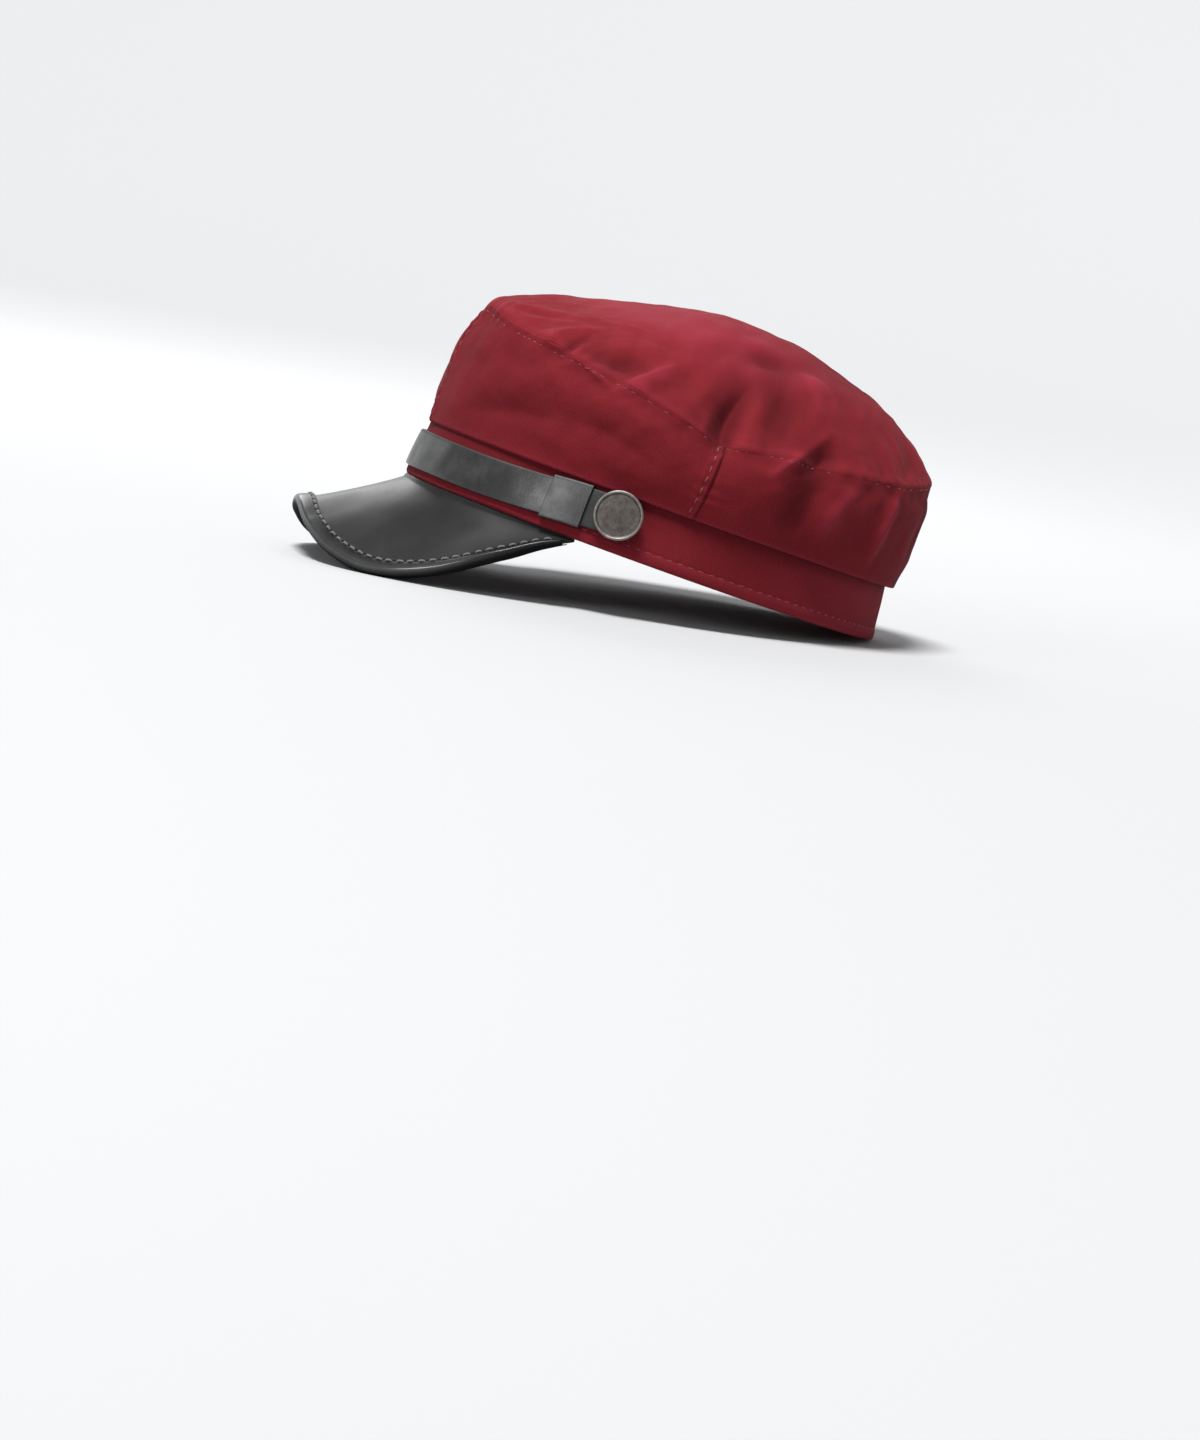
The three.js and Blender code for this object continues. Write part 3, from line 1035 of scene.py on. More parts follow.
@dataclass(frozen=True)
class Crease:
    """A fold line on the crown through three places, each an angle and an up.

    "left" and "right" are its widths to either side for someone who walks from
    the first place to the last on the outside of the cloth. A low "sharp" gives
    a keener line.
    """

    first: tuple[float, float]
    bend: tuple[float, float]
    last: tuple[float, float]
    depth: float
    left: float
    right: float
    sharp: float = 1.5
    pieces: int = 14

    def height(self, points: Array) -> Array:
        """Height at each point of the plain crown.

        Formula: the line is a curve through its three places. At a distance d
        from it the height is depth times exp(-|d / width| ^ sharp), times
        sin(pi s) ^ 0.8 at the share s of its length, so it fades at both ends.

        Args:
            points: points of the plain crown, one to a row.

        Returns:
            The height in millimetres, below 0 in a furrow.
        """
        s = np.linspace(0, 1, self.pieces + 1)
        places = np.array([self.first, self.bend, self.last], float)
        weights = np.stack([(1 - s) * (1 - 2 * s), 4 * s * (1 - s), s * (2 * s - 1)])
        angle, up = places.T @ weights
        line = FORM.crown(angle, up)
        normal = FORM.normal(FORM.crown, angle, up)
        reach = 2.6 * max(self.left, self.right)
        middle = line.mean(axis=0)
        far = np.linalg.norm(line - middle, axis=1).max() + reach
        near = np.linalg.norm(points - middle, axis=1) < far
        result = np.zeros(len(points))
        if not near.any():
            return result
        here = points[near]
        step = np.diff(line, axis=0)
        offset = here[:, None, :] - line[None, :-1, :]
        along = np.einsum("nkj,kj->nk", offset, step) / (step**2).sum(axis=1)
        along = np.clip(along, 0, 1)
        miss = offset - along[..., None] * step
        best = (miss**2).sum(axis=2).argmin(axis=1)
        row = np.arange(len(here))
        miss = miss[row, best]
        share = (best + along[row, best]) / self.pieces
        left = unit(np.cross(normal[best], step[best]))
        side = np.einsum("nj,nj->n", miss, left)
        width = np.where(side > 0, self.left, self.right)
        fade = np.sin(math.pi * np.clip(share, 0, 1)) ** 0.8
        result[near] = self.depth * fade * bell(np.linalg.norm(miss, axis=1), width, self.sharp)
        return result


SWELLS = (
    Swell(87.5, 49, 78, 14, 5.5, -3.7),
    Swell(93.5, 51, 76, 12, 4, 0.8),
    Swell(100, 53, 80, 15, 6.5, -2.0),
    Swell(99, 68, 74, 16, 9, -1.3),
    Swell(112, 63, 66, 17, 5.5, 0.7),
    Swell(106, 60, 60, 11, 6, -1.6),
    Swell(100, 82, 6, 13, 5.5, -2.2),
    Swell(118, 73, 20, 9, 6, 1.4),
    Swell(172, 88, 0, 32, 20, -2.4),
    Swell(168, 48, 0, 22, 7, 1.2),
    Swell(355, 44, 0, 14, 5, -1.1),
    Swell(352, 25, 0, 20, 13, 0.9),
    Swell(113, 42.5, 40, 9, 6.5, -2.2),
    Swell(109.5, 26, -86, 21, 8, -1.8),
    Swell(117, 23, 61, 14, 6, 1.3),
    Swell(135, 22, 85, 17, 4, 1.0),
    Swell(153, 50, 30, 14, 7, -1.2),
    Swell(38, 15, 16, 22, 7, -1.2),
    Swell(64, 20, -8, 20, 7, -1.2),
    Swell(56, 47.5, 20, 9, 5.5, -3.0),
    Swell(42, 46, 70, 8, 4, -0.8),
    Swell(66, 48, 60, 14, 4, 1.0),
    Swell(74, 84, 20, 14, 8, 0.8),
    Swell(168, 39, 0, 25, 2.5, 0.8),
    Swell(272, 48, 100, 12, 6, -2.8),
    Swell(245, 43, 140, 10, 6, -2.2),
    Swell(305, 20, -10, 24, 8, -1.3),
    Swell(232, 24, 115, 14, 6, 1.2),
)

CREASES = (
    Crease((89.5, 37), (87.6, 50), (92.5, 70), -4.2, 6.5, 1.9, 1.25),
    Crease((93, 40), (93.5, 52), (96, 66), 0.4, 2.6, 5.0, 1.4),
    Crease((97, 39), (97.5, 50), (98, 62), -0.7, 4.0, 6.5, 1.6),
    Crease((90.5, 84), (99, 86), (108, 83), -1.8, 3.0, 5.5, 1.35),
    Crease((99, 28), (106.5, 42), (119, 55), 2.3, 3.2, 2.8, 1.35),
    Crease((112, 80), (117, 75), (121, 69), 0.9, 3.0, 3.5, 1.4),
    Crease((112, 36), (112.5, 42.5), (118, 45.5), -2.8, 4.8, 2.8, 1.3),
    Crease((110.5, 6), (111.5, 23), (113, 41), -2.1, 7.5, 3.4, 1.4),
    Crease((113, 9), (117, 18), (121.5, 33), 1.0, 3.4, 6.0, 1.4),
    Crease((135, 5), (134.5, 22), (140, 40), 1.2, 2.2, 3.4, 1.3),
    Crease((122, 28), (126, 33), (127, 38), -0.6, 3.0, 3.0, 1.4),
    Crease((140, 40), (147, 45), (158, 48), -1.3, 4.0, 2.5, 1.4),
    Crease((155, 8), (158, 22), (156, 38), -0.9, 4.0, 4.0, 1.5),
    Crease((164, 12), (166, 24), (164, 36), -1.2, 5.0, 5.0, 1.6),
    Crease((17, 7), (36, 13.5), (55, 17.5), -0.9, 5.5, 3.5, 1.4),
    Crease((52, 18), (64, 19.5), (78, 14), -0.9, 5.5, 3.5, 1.4),
    Crease((92, 36), (98, 30), (104, 20), 0.7, 4.0, 4.0, 1.5),
    Crease((12, 44), (18, 49), (26, 60), 0.6, 2.2, 2.2, 1.5),
    Crease((15, 43), (23, 48), (31, 58), -0.6, 2.2, 2.2, 1.4),
    Crease((21, 42), (28, 46.5), (36, 53), 0.5, 2.0, 2.0, 1.5),
    Crease((25, 41), (31.5, 43.5), (36, 48), -0.6, 1.8, 2.2, 1.4),
    Crease((38, 39), (36.5, 46), (43, 58), 1.0, 2.6, 2.0, 1.4),
    Crease((41, 36), (42, 43), (41.5, 55), -2.3, 1.8, 3.0, 1.25),
    Crease((43, 40), (52, 38), (61.5, 34.5), 1.3, 3.6, 1.3, 1.3),
    Crease((8, 43), (22, 52), (38, 66), 0.7, 2.0, 2.6, 1.4),
    Crease((11, 42), (24, 49), (38, 58), -0.7, 1.8, 2.4, 1.4),
    Crease((30, 62), (44, 66), (57, 70), 0.7, 2.4, 2.4, 1.4),
    Crease((50, 60), (60, 64), (72, 66), -0.8, 2.6, 3.0, 1.4),
    Crease((43, 34), (44, 36), (49, 38), 0.5, 2.4, 2.4, 1.5),
    Crease((51, 43), (56, 45), (61, 47), -0.9, 4.0, 3.0, 1.4),
    Crease((59.5, 38.5), (61.5, 44), (65, 51), -1.4, 6.0, 2.0, 1.3),
    Crease((58, 33), (63.5, 45.5), (69, 59), 1.8, 2.0, 3.4, 1.25),
    Crease((52, 55), (57, 52), (64, 54), 0.6, 3.0, 3.0, 1.5),
    Crease((66, 40), (70, 46), (75, 53), -0.8, 4.0, 3.0, 1.4),
    Crease((77, 42), (78.5, 50), (82, 60), 0.5, 3.0, 3.0, 1.5),
    Crease((76, 66), (79, 74), (84, 84), -0.6, 4.5, 3.0, 1.5),
    Crease((104, 54), (103, 64), (105, 76), -0.6, 3.5, 3.0, 1.5),
    Crease((107, 52), (108, 62), (111, 74), 0.7, 3.0, 4.0, 1.5),
    Crease((118, 42), (122, 46), (130, 48), -0.6, 3.0, 3.0, 1.4),
    Crease((271, 38), (273, 50), (268, 66), -1.8, 2.2, 5.5, 1.3),
    Crease((262, 42), (263, 52), (259, 62), -0.9, 3.0, 3.0, 1.4),
    Crease((248, 36), (244, 45), (238, 54), -1.5, 2.4, 4.5, 1.3),
    Crease((250, 10), (251, 24), (249, 37), -1.0, 3.5, 5.0, 1.5),
    Crease((228, 8), (231, 22), (226, 40), 0.8, 2.4, 2.2, 1.3),
    Crease((320, 45), (312, 48), (302, 46), -0.9, 3.5, 2.4, 1.3),
    Crease((330, 10), (315, 17), (292, 19), -0.8, 3.5, 5.5, 1.4),
    Crease((200, 44), (190, 52), (176, 55), -1.0, 2.5, 4.0, 1.4),
    Crease((183, 6), (186, 22), (184, 40), 0.6, 2.5, 3.0, 1.5),
    Crease((206, 8), (203, 24), (207, 38), -0.9, 3.5, 3.0, 1.5),
    Crease((345, 43), (332, 47), (318, 52), 0.6, 2.4, 2.4, 1.5),
    Crease((290, 60), (296, 47), (300, 36), 0.9, 2.4, 2.2, 1.4),
    Crease((286, 52), (292, 44), (294, 38), -0.8, 3.0, 2.0, 1.4),
)


@dataclass(frozen=True)
class Gather:
    """Small puckers along a seam: waves of uneven height that fade away from it."""

    every: float
    height: float
    reach: float
    seed: int

    def at(self, along: Array, away: Array) -> Array:
        """Height: a wave along the seam, its phase and height wandering slowly.

        Args:
            along: distance along the seam.
            away: distance from the seam.

        Returns:
            The height in millimetres.
        """
        rng = np.random.default_rng(self.seed)
        base = along / self.every * 2 * math.pi
        sway = sum(a * np.sin(base * f + p) for a, f, p in self._waves(rng, 0.9))
        size = 0.5 + 0.5 * sum(a * np.sin(base * f + p) for a, f, p in self._waves(rng, 0.8))
        wave = self.height * np.sin(base + 2.2 * sway) * np.clip(size, 0, 1.2)
        return wave * bell(away, self.reach, 1.2)

    def _waves(self, rng: np.random.Generator, height: float) -> list[tuple[float, float, float]]:
        """Height, frequency and phase of three slow waves."""
        shares = (0.13, 0.29, 0.47)
        return [(height / 2**i, f, rng.uniform(0, 6.3)) for i, f in enumerate(shares)]


def ripples(points: Array, seed: int, waves: int = 26) -> Array:
    """Faint unevenness of worn cloth: a sum of plane waves 11 to 45 mm long.

    Args:
        points: points, with x, y and z last.
        seed: choice of the waves.
        waves: how many are added.

    Returns:
        A height at each point, mostly between -1 and 1.
    """
    rng = np.random.default_rng(seed)
    direction = unit(rng.normal(size=(waves, 3)))
    length = np.exp(rng.uniform(math.log(11), math.log(45), waves))
    phase = rng.uniform(0, 2 * math.pi, waves)
    total = np.zeros(points.shape[:-1])
    for ahead, wave, start in zip(direction, length, phase):
        total += (wave / 45) ** 0.6 * np.sin((points @ ahead) * (2 * math.pi / wave) + start)
    return total / math.sqrt(waves / 2) / 0.7


# Sub-assemblies


@dataclass
class Crown:
    """The cloth crown: two front panels, a back panel and the oval tip.

    "gap" is the slit at a seam, "roll" the radius of the lower edge and
    "seam_low" and "seam_high" the left side seam's angles at its two ends.
    "seam_arc" and "front_arc" are the millimetres in a degree at the seams.
    A name that ends in "_row" is a row of stitches' distance from its seam, in
    "_line" a relief along a seam, in "_worn" a mark of wear, and in "_shade" a
    mark of painted shade, each 0 to 1. The paler mark on fold tops is partly wear
    and partly painted highlight, and the one on the top of the tip is painted
    light. "full_fold" is the depth of a fold that gets full painted shade.
    """

    thick: float = 1.8
    gap: float = 0.02
    roll: float = 1.0
    shelf_gap: float = 0.2
    seam_low: float = 87.4
    seam_high: float = 88.6
    seam_arc: float = 1.72
    front_arc: float = 1.47
    turning: float = 5.5
    turning_height: float = 0.45
    tip_turning: float = 4.5
    tip_turning_height: float = 0.12
    side_row: float = 2.9
    tip_row: float = 1.7
    front_row: float = 2.4
    tip_furrow: float = 0.05
    tip_furrow_rear: float = 0.12
    tip_furrow_width: float = 0.6
    tip_row_line: Ridge = Ridge(-0.10, 0.6)
    side_line: Ridge = Ridge(-0.62, 0.8)
    side_row_line: Ridge = Ridge(-0.32, 0.65)
    front_line: Ridge = Ridge(-1.1, 0.95)
    front_turning_line: Ridge = Ridge(0.45, 1.7, 2.6)
    low_edge_worn: Ridge = Ridge(0.6, 1.3)
    tip_edge_worn: Ridge = Ridge(0.2, 1.0, 1.6)
    side_edge_worn: Ridge = Ridge(0.2, 1.0, -1.2)
    # Paler fold tops, partly wear and partly painted highlight, and a paler top of the tip, as
    # painted light.
    fold_top_wear_and_light: float = 0.34
    top_painted_light: float = 0.48
    # Painted shade on the seams, the wall and the tip beside its seam and at its rear.
    front_seam_shade: Ridge = Ridge(0.7, 0.9)
    side_seam_shade: Ridge = Ridge(0.4, 0.8)
    wall_shade: float = 0.16
    front_wall_shade: float = 0.34
    back_wall_shade: float = 0.16
    tip_seam_shade: Ridge = Ridge(0.28, 10, 3)
    rear_tip_shade: float = 0.24
    full_fold: float = 4.2
    ripple: float = 0.28
    crumple: float = 0.15
    crumple_scale: float = 2.4
    tip_gather: Gather = Gather(8.5, 0.30, 6.5, 21)
    wall_gather: Gather = Gather(7.5, 0.20, 4.0, 22)
    side_gather: Gather = Gather(7.0, 0.26, 4.5, 23)
    step_round: float = 0.62
    step_up: float = 0.95
    near_seam: tuple[float, ...] = (0.2, 0.45, 0.75, 1.1, 1.5, 1.9, 2.4, 3.0, 3.6)
    near_low_edge: tuple[float, ...] = (0, 0.05, 0.15, 0.3, 0.5, 0.75, 1.0, 1.5, 2.2)
    below_tip: tuple[float, ...] = (36.4, 37.1, 37.7, 38.2, 38.6, 39.0, 39.35, 39.65, 39.87, 39.96)
    above_wall: tuple[float, ...] = (40.04, 40.13, 40.35, 40.7, 41.1, 41.6, 42.2, 42.9)

    def relief(self, angle: Array, up: Array, plain: Array) -> Array:
        """Height of the cloth over the plain crown: folds, seams, and puckers.

        Args:
            angle: place round the rim.
            up: distance over the cloth.
            plain: the plain crown's points there.

        Returns:
            The height in millimetres.
        """
        total = sum(swell.height(angle, up) for swell in SWELLS)
        flat = plain.reshape(-1, 3)
        total = total + sum(c.height(flat) for c in CREASES).reshape(angle.shape)
        total = total + self.ripple * ripples(plain, 31) * ease(up, 0, 9)
        crumpled = bell(up - 48, 24) * (1 + 0.9 * bell(FORM.side_angle(angle) - 38, 26))
        small = self.crumple * ripples(plain * self.crumple_scale, 33) * (0.35 + crumpled)
        total = total + small * ease(up, 0, 9)
        return total + self.seam_relief(angle, up) + self.edge_roll(up)

    def edge_roll(self, up: Array) -> Array:
        """The lower edge's round turn: a quarter circle of radius roll."""
        t = np.clip(1 - up / self.roll, 0, 1)
        return self.roll * (np.sqrt(1 - t * t) - 1)

    def seam_angle(self, up: Array) -> Array:
        """Angle of the left side seam, which leans back a little towards its top."""
        share = np.clip(up / FORM.wall_run, 0, 1)
        return self.seam_low + (self.seam_high - self.seam_low) * share

    def right_seam(self, up: Array) -> Array:
        """Angle of the right side seam."""
        return 360 - self.seam_angle(up)

    def first_front(self, up: Array) -> Array:
        """The centre front as an angle of 0."""
        return up * 0.0

    def last_front(self, up: Array) -> Array:
        """The centre front as an angle of 360."""
        return up * 0.0 + 360

    def from_side_seam(self, angle: Array, up: Array) -> Array:
        """Distance to the nearer side seam, above 0 behind it."""
        return (FORM.side_angle(angle) - self.seam_angle(up)) * self.seam_arc

    def from_front_seam(self, angle: Array) -> Array:
        """Distance to the centre front seam, above 0 on the wearer's left."""
        return FORM.signed_angle(angle) * self.front_arc

    def tip_seam_relief(self, angle: Array, up: Array) -> Array:
        """Relief along the tip seam.

        Formula: the seam is a bell-shaped furrow, deeper at the rear. Below it
        the cloth stands proud as far as the turning goes, less a small furrow
        under the row of stitches. Puckers run into the cloth on both sides.

        Args:
            angle: place round the rim.
            up: distance over the cloth.

        Returns:
            The height in millimetres.
        """
        on_tip = up - FORM.wall_run
        turn = FORM.side_angle(angle)
        along = FORM.run(turn) * np.where(angle % 360 > 180, -1.0, 1.0)
        above = self.tip_gather.at(along, on_tip) * ease(on_tip, -2, 2)
        below = self.wall_gather.at(along + 3, on_tip) * ease(-on_tip, -2, 2)
        depth = self.tip_furrow + self.tip_furrow_rear * ease(turn, 75, 100)
        pressed = ease(on_tip + self.tip_turning, 0, 1.8) * ease(-on_tip, 0, 0.9)
        seam = self.tip_turning_height * pressed - depth * bell(on_tip, self.tip_furrow_width)
        return above + below + seam + self.tip_row_line.at(on_tip + self.tip_row)

    def seam_relief(self, angle: Array, up: Array) -> Array:
        """Relief along all seams: a furrow, the turning's step, stitches and puckers.

        Formula: a side seam is a furrow, and in front of it the cloth stands
        proud as far as the turning goes, less a small furrow under the row of
        stitches. The front seam is a furrow between two turnings. Both fade
        out just below the tip seam.

        Args:
            angle: place round the rim.
            up: distance over the cloth.

        Returns:
            The height in millimetres.
        """
        side = self.from_side_seam(angle, up)
        pressed = ease(side + self.turning, 0, 1.2) * ease(-side, 0, 0.8)
        rows = self.side_line.at(side) + self.turning_height * pressed
        rows = rows + self.side_row_line.at(side + self.side_row) + self.side_gather.at(up, side)
        front = self.from_front_seam(angle)
        rows = rows + self.front_line.at(front) + self.front_turning_line.at(np.abs(front))
        return self.tip_seam_relief(angle, up) + rows * ease(FORM.wall_run - up, 0.0, 3.0)

    def cloth(self, angle: Array, up: Array) -> Array:
        """The crown's outer face with all its relief.

        Args:
            angle: place round the rim.
            up: distance over the cloth.

        Returns:
            Points, with x, y and z last.
        """
        plain = FORM.crown(angle, up)
        normal = FORM.normal(FORM.crown, angle, up)
        return plain + normal * self.relief(angle, up, plain)[..., None]

    def seam_edge(self, angle: Array, shift: float) -> Array:
        """Edge of the cloth at the tip seam, moved off it along the cloth.

        Args:
            angle: stations round the rim.
            shift: how far it is moved, above 0 towards the tip.

        Returns:
            A point for each station.
        """
        up = np.full_like(angle, FORM.wall_run)
        normal = FORM.normal(FORM.crown, angle, up)
        along = unit(self.cloth(angle + 0.5, up) - self.cloth(angle - 0.5, up))
        return self.cloth(angle, up) + np.cross(normal, along) * shift

    def marks(self, angle: Array, up: Array, height: Array) -> dict[str, Array]:
        """Where the cloth is rubbed pale or painted lighter, and where shade is painted.

        Paler are the edges, from wear, the tops of folds, partly from wear and
        partly as a painted highlight, and the top of the tip, as painted light.
        Painted shade darkens furrows and folds, the whole wall and more so towards
        the front and the back, the seams, a stretch along the tip seam, and the
        rear of the tip.

        Args:
            angle: place round the rim.
            up: distance over the cloth.
            height: the relief there.

        Returns:
            The marks by name, each from 0 to 1.
        """
        side, front = self.from_side_seam(angle, up), self.from_front_seam(angle)
        turn, on_tip = FORM.side_angle(angle), up - FORM.wall_run
        wall = up < FORM.wall_run
        worn = self.low_edge_worn.at(up) + self.tip_edge_worn.at(on_tip)
        worn = worn + self.side_edge_worn.at(side) * wall
        # Fold tops paler, partly wear and partly a painted highlight; the top of the tip paler as
        # painted light, less at the rear.
        worn = worn + self.fold_top_wear_and_light * np.clip(height - 0.4, 0, 2)
        worn = worn + self.top_painted_light * ease(up, 56, 84) * (1 - 0.7 * ease(turn, 92, 130))
        # Painted shade: the wall, more towards the front and the back, the seams, the tip beside
        # its seam and at its rear, and the folds by their depth.
        toward_front, toward_back = ease(60 - turn, 0, 50), ease(turn, 95, 108)
        shade = self.wall_shade + self.front_wall_shade * toward_front
        shade = shade + self.back_wall_shade * toward_back
        shade = shade + self.front_seam_shade.at(front) + self.side_seam_shade.at(side)
        deep = wall * shade
        beside = ease(turn, 30, 60) * ease(92 - turn, 0, 8)
        deep = deep + self.tip_seam_shade.at(on_tip) * beside
        deep = deep + ~wall * self.rear_tip_shade * ease(turn, 88, 100) * ease(100 - up, 0, 24)
        deep = deep - height / self.full_fold
        return {WEAR_AND_LIGHT: np.clip(worn, 0, 1), PAINTED_SHADE: np.clip(deep, 0, 1)}

    def panel(self, name: str, start: Edge, stop: Edge) -> Body:
        """One wall panel between two seams.

        Formula: the outer face is the cloth from one seam to the other. The
        inner one lies a thickness under it, and low down is the edge's way in.

        Args:
            name: name of the piece.
            start: angle of its first seam at each up.
            stop: angle of its last seam at each up.

        Returns:
            The closed panel, its lower edge turned in over the band's top.
        """
        half = self.gap / 2 / self.seam_arc
        zero = np.zeros(1)
        width = float(stop(zero)[0] - start(zero)[0])
        share = spaced(0, width, self.step_round, self.near_seam)[:, None] / width

        def across(up: Array) -> Array:
            """Angles of the stations at each up."""
            return start(up) + half + share * (stop(up) - start(up) - 2 * half)

        ups = [self.near_low_edge, np.arange(3.0, 36, self.step_up), self.below_tip]
        ups = np.concatenate(ups)
        angle = across(ups)
        up = angle * 0 + ups
        plain = FORM.crown(angle, up)
        normal = FORM.normal(FORM.crown, angle, up)
        height = self.relief(angle, up, plain)
        face = plain + normal * height[..., None]
        high_angles = across(zero + FORM.wall_run)[:, 0]
        edge = self.seam_edge(high_angles, -self.gap / 2)
        seam_normal = FORM.normal(FORM.crown, high_angles, high_angles * 0 + FORM.wall_run)
        outer = np.concatenate([face, edge[:, None]], axis=1)
        turned = self.turned_in(across(zero)[:, 0])
        free = ups[turned.shape[1] :]
        lining_height = height[:, turned.shape[1] :] - self.thick
        back = plain[:, -len(free) :] + normal[:, -len(free) :] * lining_height[..., None]
        inner_edge = edge - seam_normal * self.thick
        inner = np.concatenate([turned, back, inner_edge[:, None]], axis=1)
        flat = self.wall_pattern(angle, up)
        flat = np.concatenate([flat, flat[:, -1:] + (0, 0.35)], axis=1)
        marks = {}
        for key, value in self.marks(angle, up, height).items():
            to_edge = np.pad(value, ((0, 0), (0, 1)))
            marks[key] = wrapped(to_edge, 0 * to_edge)
        skin = Skin(wrapped(outer, inner), wrapped(flat, flat), marks)
        return Body(name).add(skin).close_ends(outer, inner, flat)

    def wall_pattern(self, angle: Array, up: Array) -> Array:
        """Flat place on the wall's cloth: arc length and distance up."""
        return np.stack([FORM.run(angle), up * 1.05], axis=-1)

    def turned_in(self, angles: Array) -> Array:
        """The lower edge's way in: under the wall, up the band and over its top.

        Args:
            angles: the panel's stations.

        Returns:
            For each station the points from the lower edge to the inside.
        """
        low, band_top = FORM.crown_low, FORM.band_top
        top = band_top + self.shelf_gap
        way = (
            (low, 0.2),
            (low + 0.8, 0.15),
            (band_top, 0.15),
            (top, 0.1),
            (top, -0.9),
            (top, -1.7),
            (top + 0.6, -2.0),
        )
        lines = [FORM.band(angles, np.full_like(angles, z), out) for z, out in way]
        return np.stack(lines, axis=1)

    def tip(self, name: str) -> Body:
        """The oval tip, a dome closed in its middle inside and outside.

        Formula: the outer face is the cloth from the tip seam to the middle,
        where its relief fades. The inner one lies a thickness under it.

        Args:
            name: name of the piece.

        Returns:
            The closed tip.
        """
        angles = np.linspace(0, 360, 577)
        rising, level = np.arange(43.7, 82, 1.0), np.linspace(83.2, 133.5, 26)
        angle, up = grid(angles, np.concatenate([self.above_wall, rising, level]))
        plain = FORM.crown(angle, up)
        normal = FORM.normal(FORM.crown, angle, up)
        height = self.relief(angle, up, plain) * ease(FORM.wall_run + FORM.tip_run - up, 0, 20)
        face = plain + normal * height[..., None]
        edge = self.seam_edge(angles, self.gap / 2)
        seam_normal = FORM.normal(FORM.crown, angles, np.full_like(angles, FORM.wall_run))
        middle = np.broadcast_to([0.0, FORM.middle_y, FORM.middle_z], (len(angles), 1, 3))
        outer = np.concatenate([edge[:, None], face, middle], axis=1)
        few = slice(None, None, 3)
        back = plain[:, few] + normal[:, few] * (height[:, few] - self.thick)[..., None]
        inner_edge = edge - seam_normal * self.thick
        low_middle = middle - [0, 0, self.thick]
        inner = np.concatenate([inner_edge[:, None], back, low_middle], axis=1)
        chain = np.concatenate([outer[:, ::-1], inner], axis=1)
        chain[-1] = chain[0]
        flat = self.tip_pattern(angle, up)
        rim = self.tip_pattern(angle[:, :1], up[:, :1] - 0.35)
        centre = flat[:, :1] * 0
        front = np.concatenate([rim, flat, centre], axis=1)
        inside = np.concatenate([rim, flat[:, few], centre], axis=1)
        pattern = np.concatenate([front[:, ::-1], inside], axis=1)
        marks = {}
        for key, value in self.marks(angle, up, height).items():
            whole = np.zeros(chain.shape[:2])
            whole[:, 1 : value.shape[1] + 1] = value[:, ::-1]
            marks[key] = whole
        return Body(name).add(Skin(chain, pattern, marks))

    def tip_pattern(self, angle: Array, up: Array) -> Array:
        """Flat place on the tip's cloth, which is cut as an oval."""
        radius, turn = FORM.fold_radius * FORM.radius(up), np.radians(angle)
        return np.stack([radius * np.sin(turn), radius * np.cos(turn)], axis=-1)

    def row(self, angle: Array, up: Array) -> tuple[Array, Array]:
        """A line on the finished cloth.

        Args:
            angle: place round the rim, for each point.
            up: distance over the cloth, for each point.

        Returns:
            The points and the cloth's outward normals there.
        """
        return self.cloth(angle, up), FORM.normal(self.cloth, angle, up, 0.5)

    def stitches(self) -> list[Piece]:
        """The rows of stitches along the tip seam, the side seams and the front seam.

        Returns:
            One object for each row.
        """
        around = np.linspace(0, 360, 1441)
        low = np.full_like(around, FORM.wall_run - self.tip_row)
        ups = np.linspace(1.6, 38.6, 160)
        aside = self.seam_angle(ups) - self.side_row / self.seam_arc
        front = np.full_like(ups, self.front_row / self.front_arc)
        tip = Stitching(2.4, 1.2, 0.42, sunk=0.16, seed=41, buried=1.1)
        side = Stitching(2.8, 1.3, 0.6, sunk=0.12, seed=42)
        centre = Stitching(3.0, 1.5, 0.45, sunk=0.12, seed=43)
        rows = (
            ("tip_seam_stitches", tip, around, low),
            ("side_seam_stitches_left", side, aside, ups),
            ("side_seam_stitches_right", side, 360 - aside, ups),
            ("front_seam_stitches_left", centre, front, ups),
            ("front_seam_stitches_right", centre, -front, ups),
        )
        thread = Finish.CLOTH_THREAD.material()
        return [
            stitching.sew(name, *self.row(angle, up), thread) for name, stitching, angle, up in rows
        ]

    def build(self) -> list[Piece]:
        """Makes the crown's pieces, each standing for its plain solid.

        Returns:
            All pieces of the crown.
        """
        cloth = Finish.CLOTH.material()
        made = []
        for body, node in (
            (self.tip("tip_cloth"), "crown_tip"),
            (self.panel("front_cloth_left", self.first_front, self.seam_angle), "side_front_left"),
            (self.panel("front_cloth_right", self.right_seam, self.last_front), "side_front_right"),
            (self.panel("back_cloth", self.seam_angle, self.right_seam), "side_back"),
        ):
            piece = body.finish(cloth)
            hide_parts(node)
            made.append(piece)
        made += self.stitches()
        for piece in made:
            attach(piece, "root")
        return made


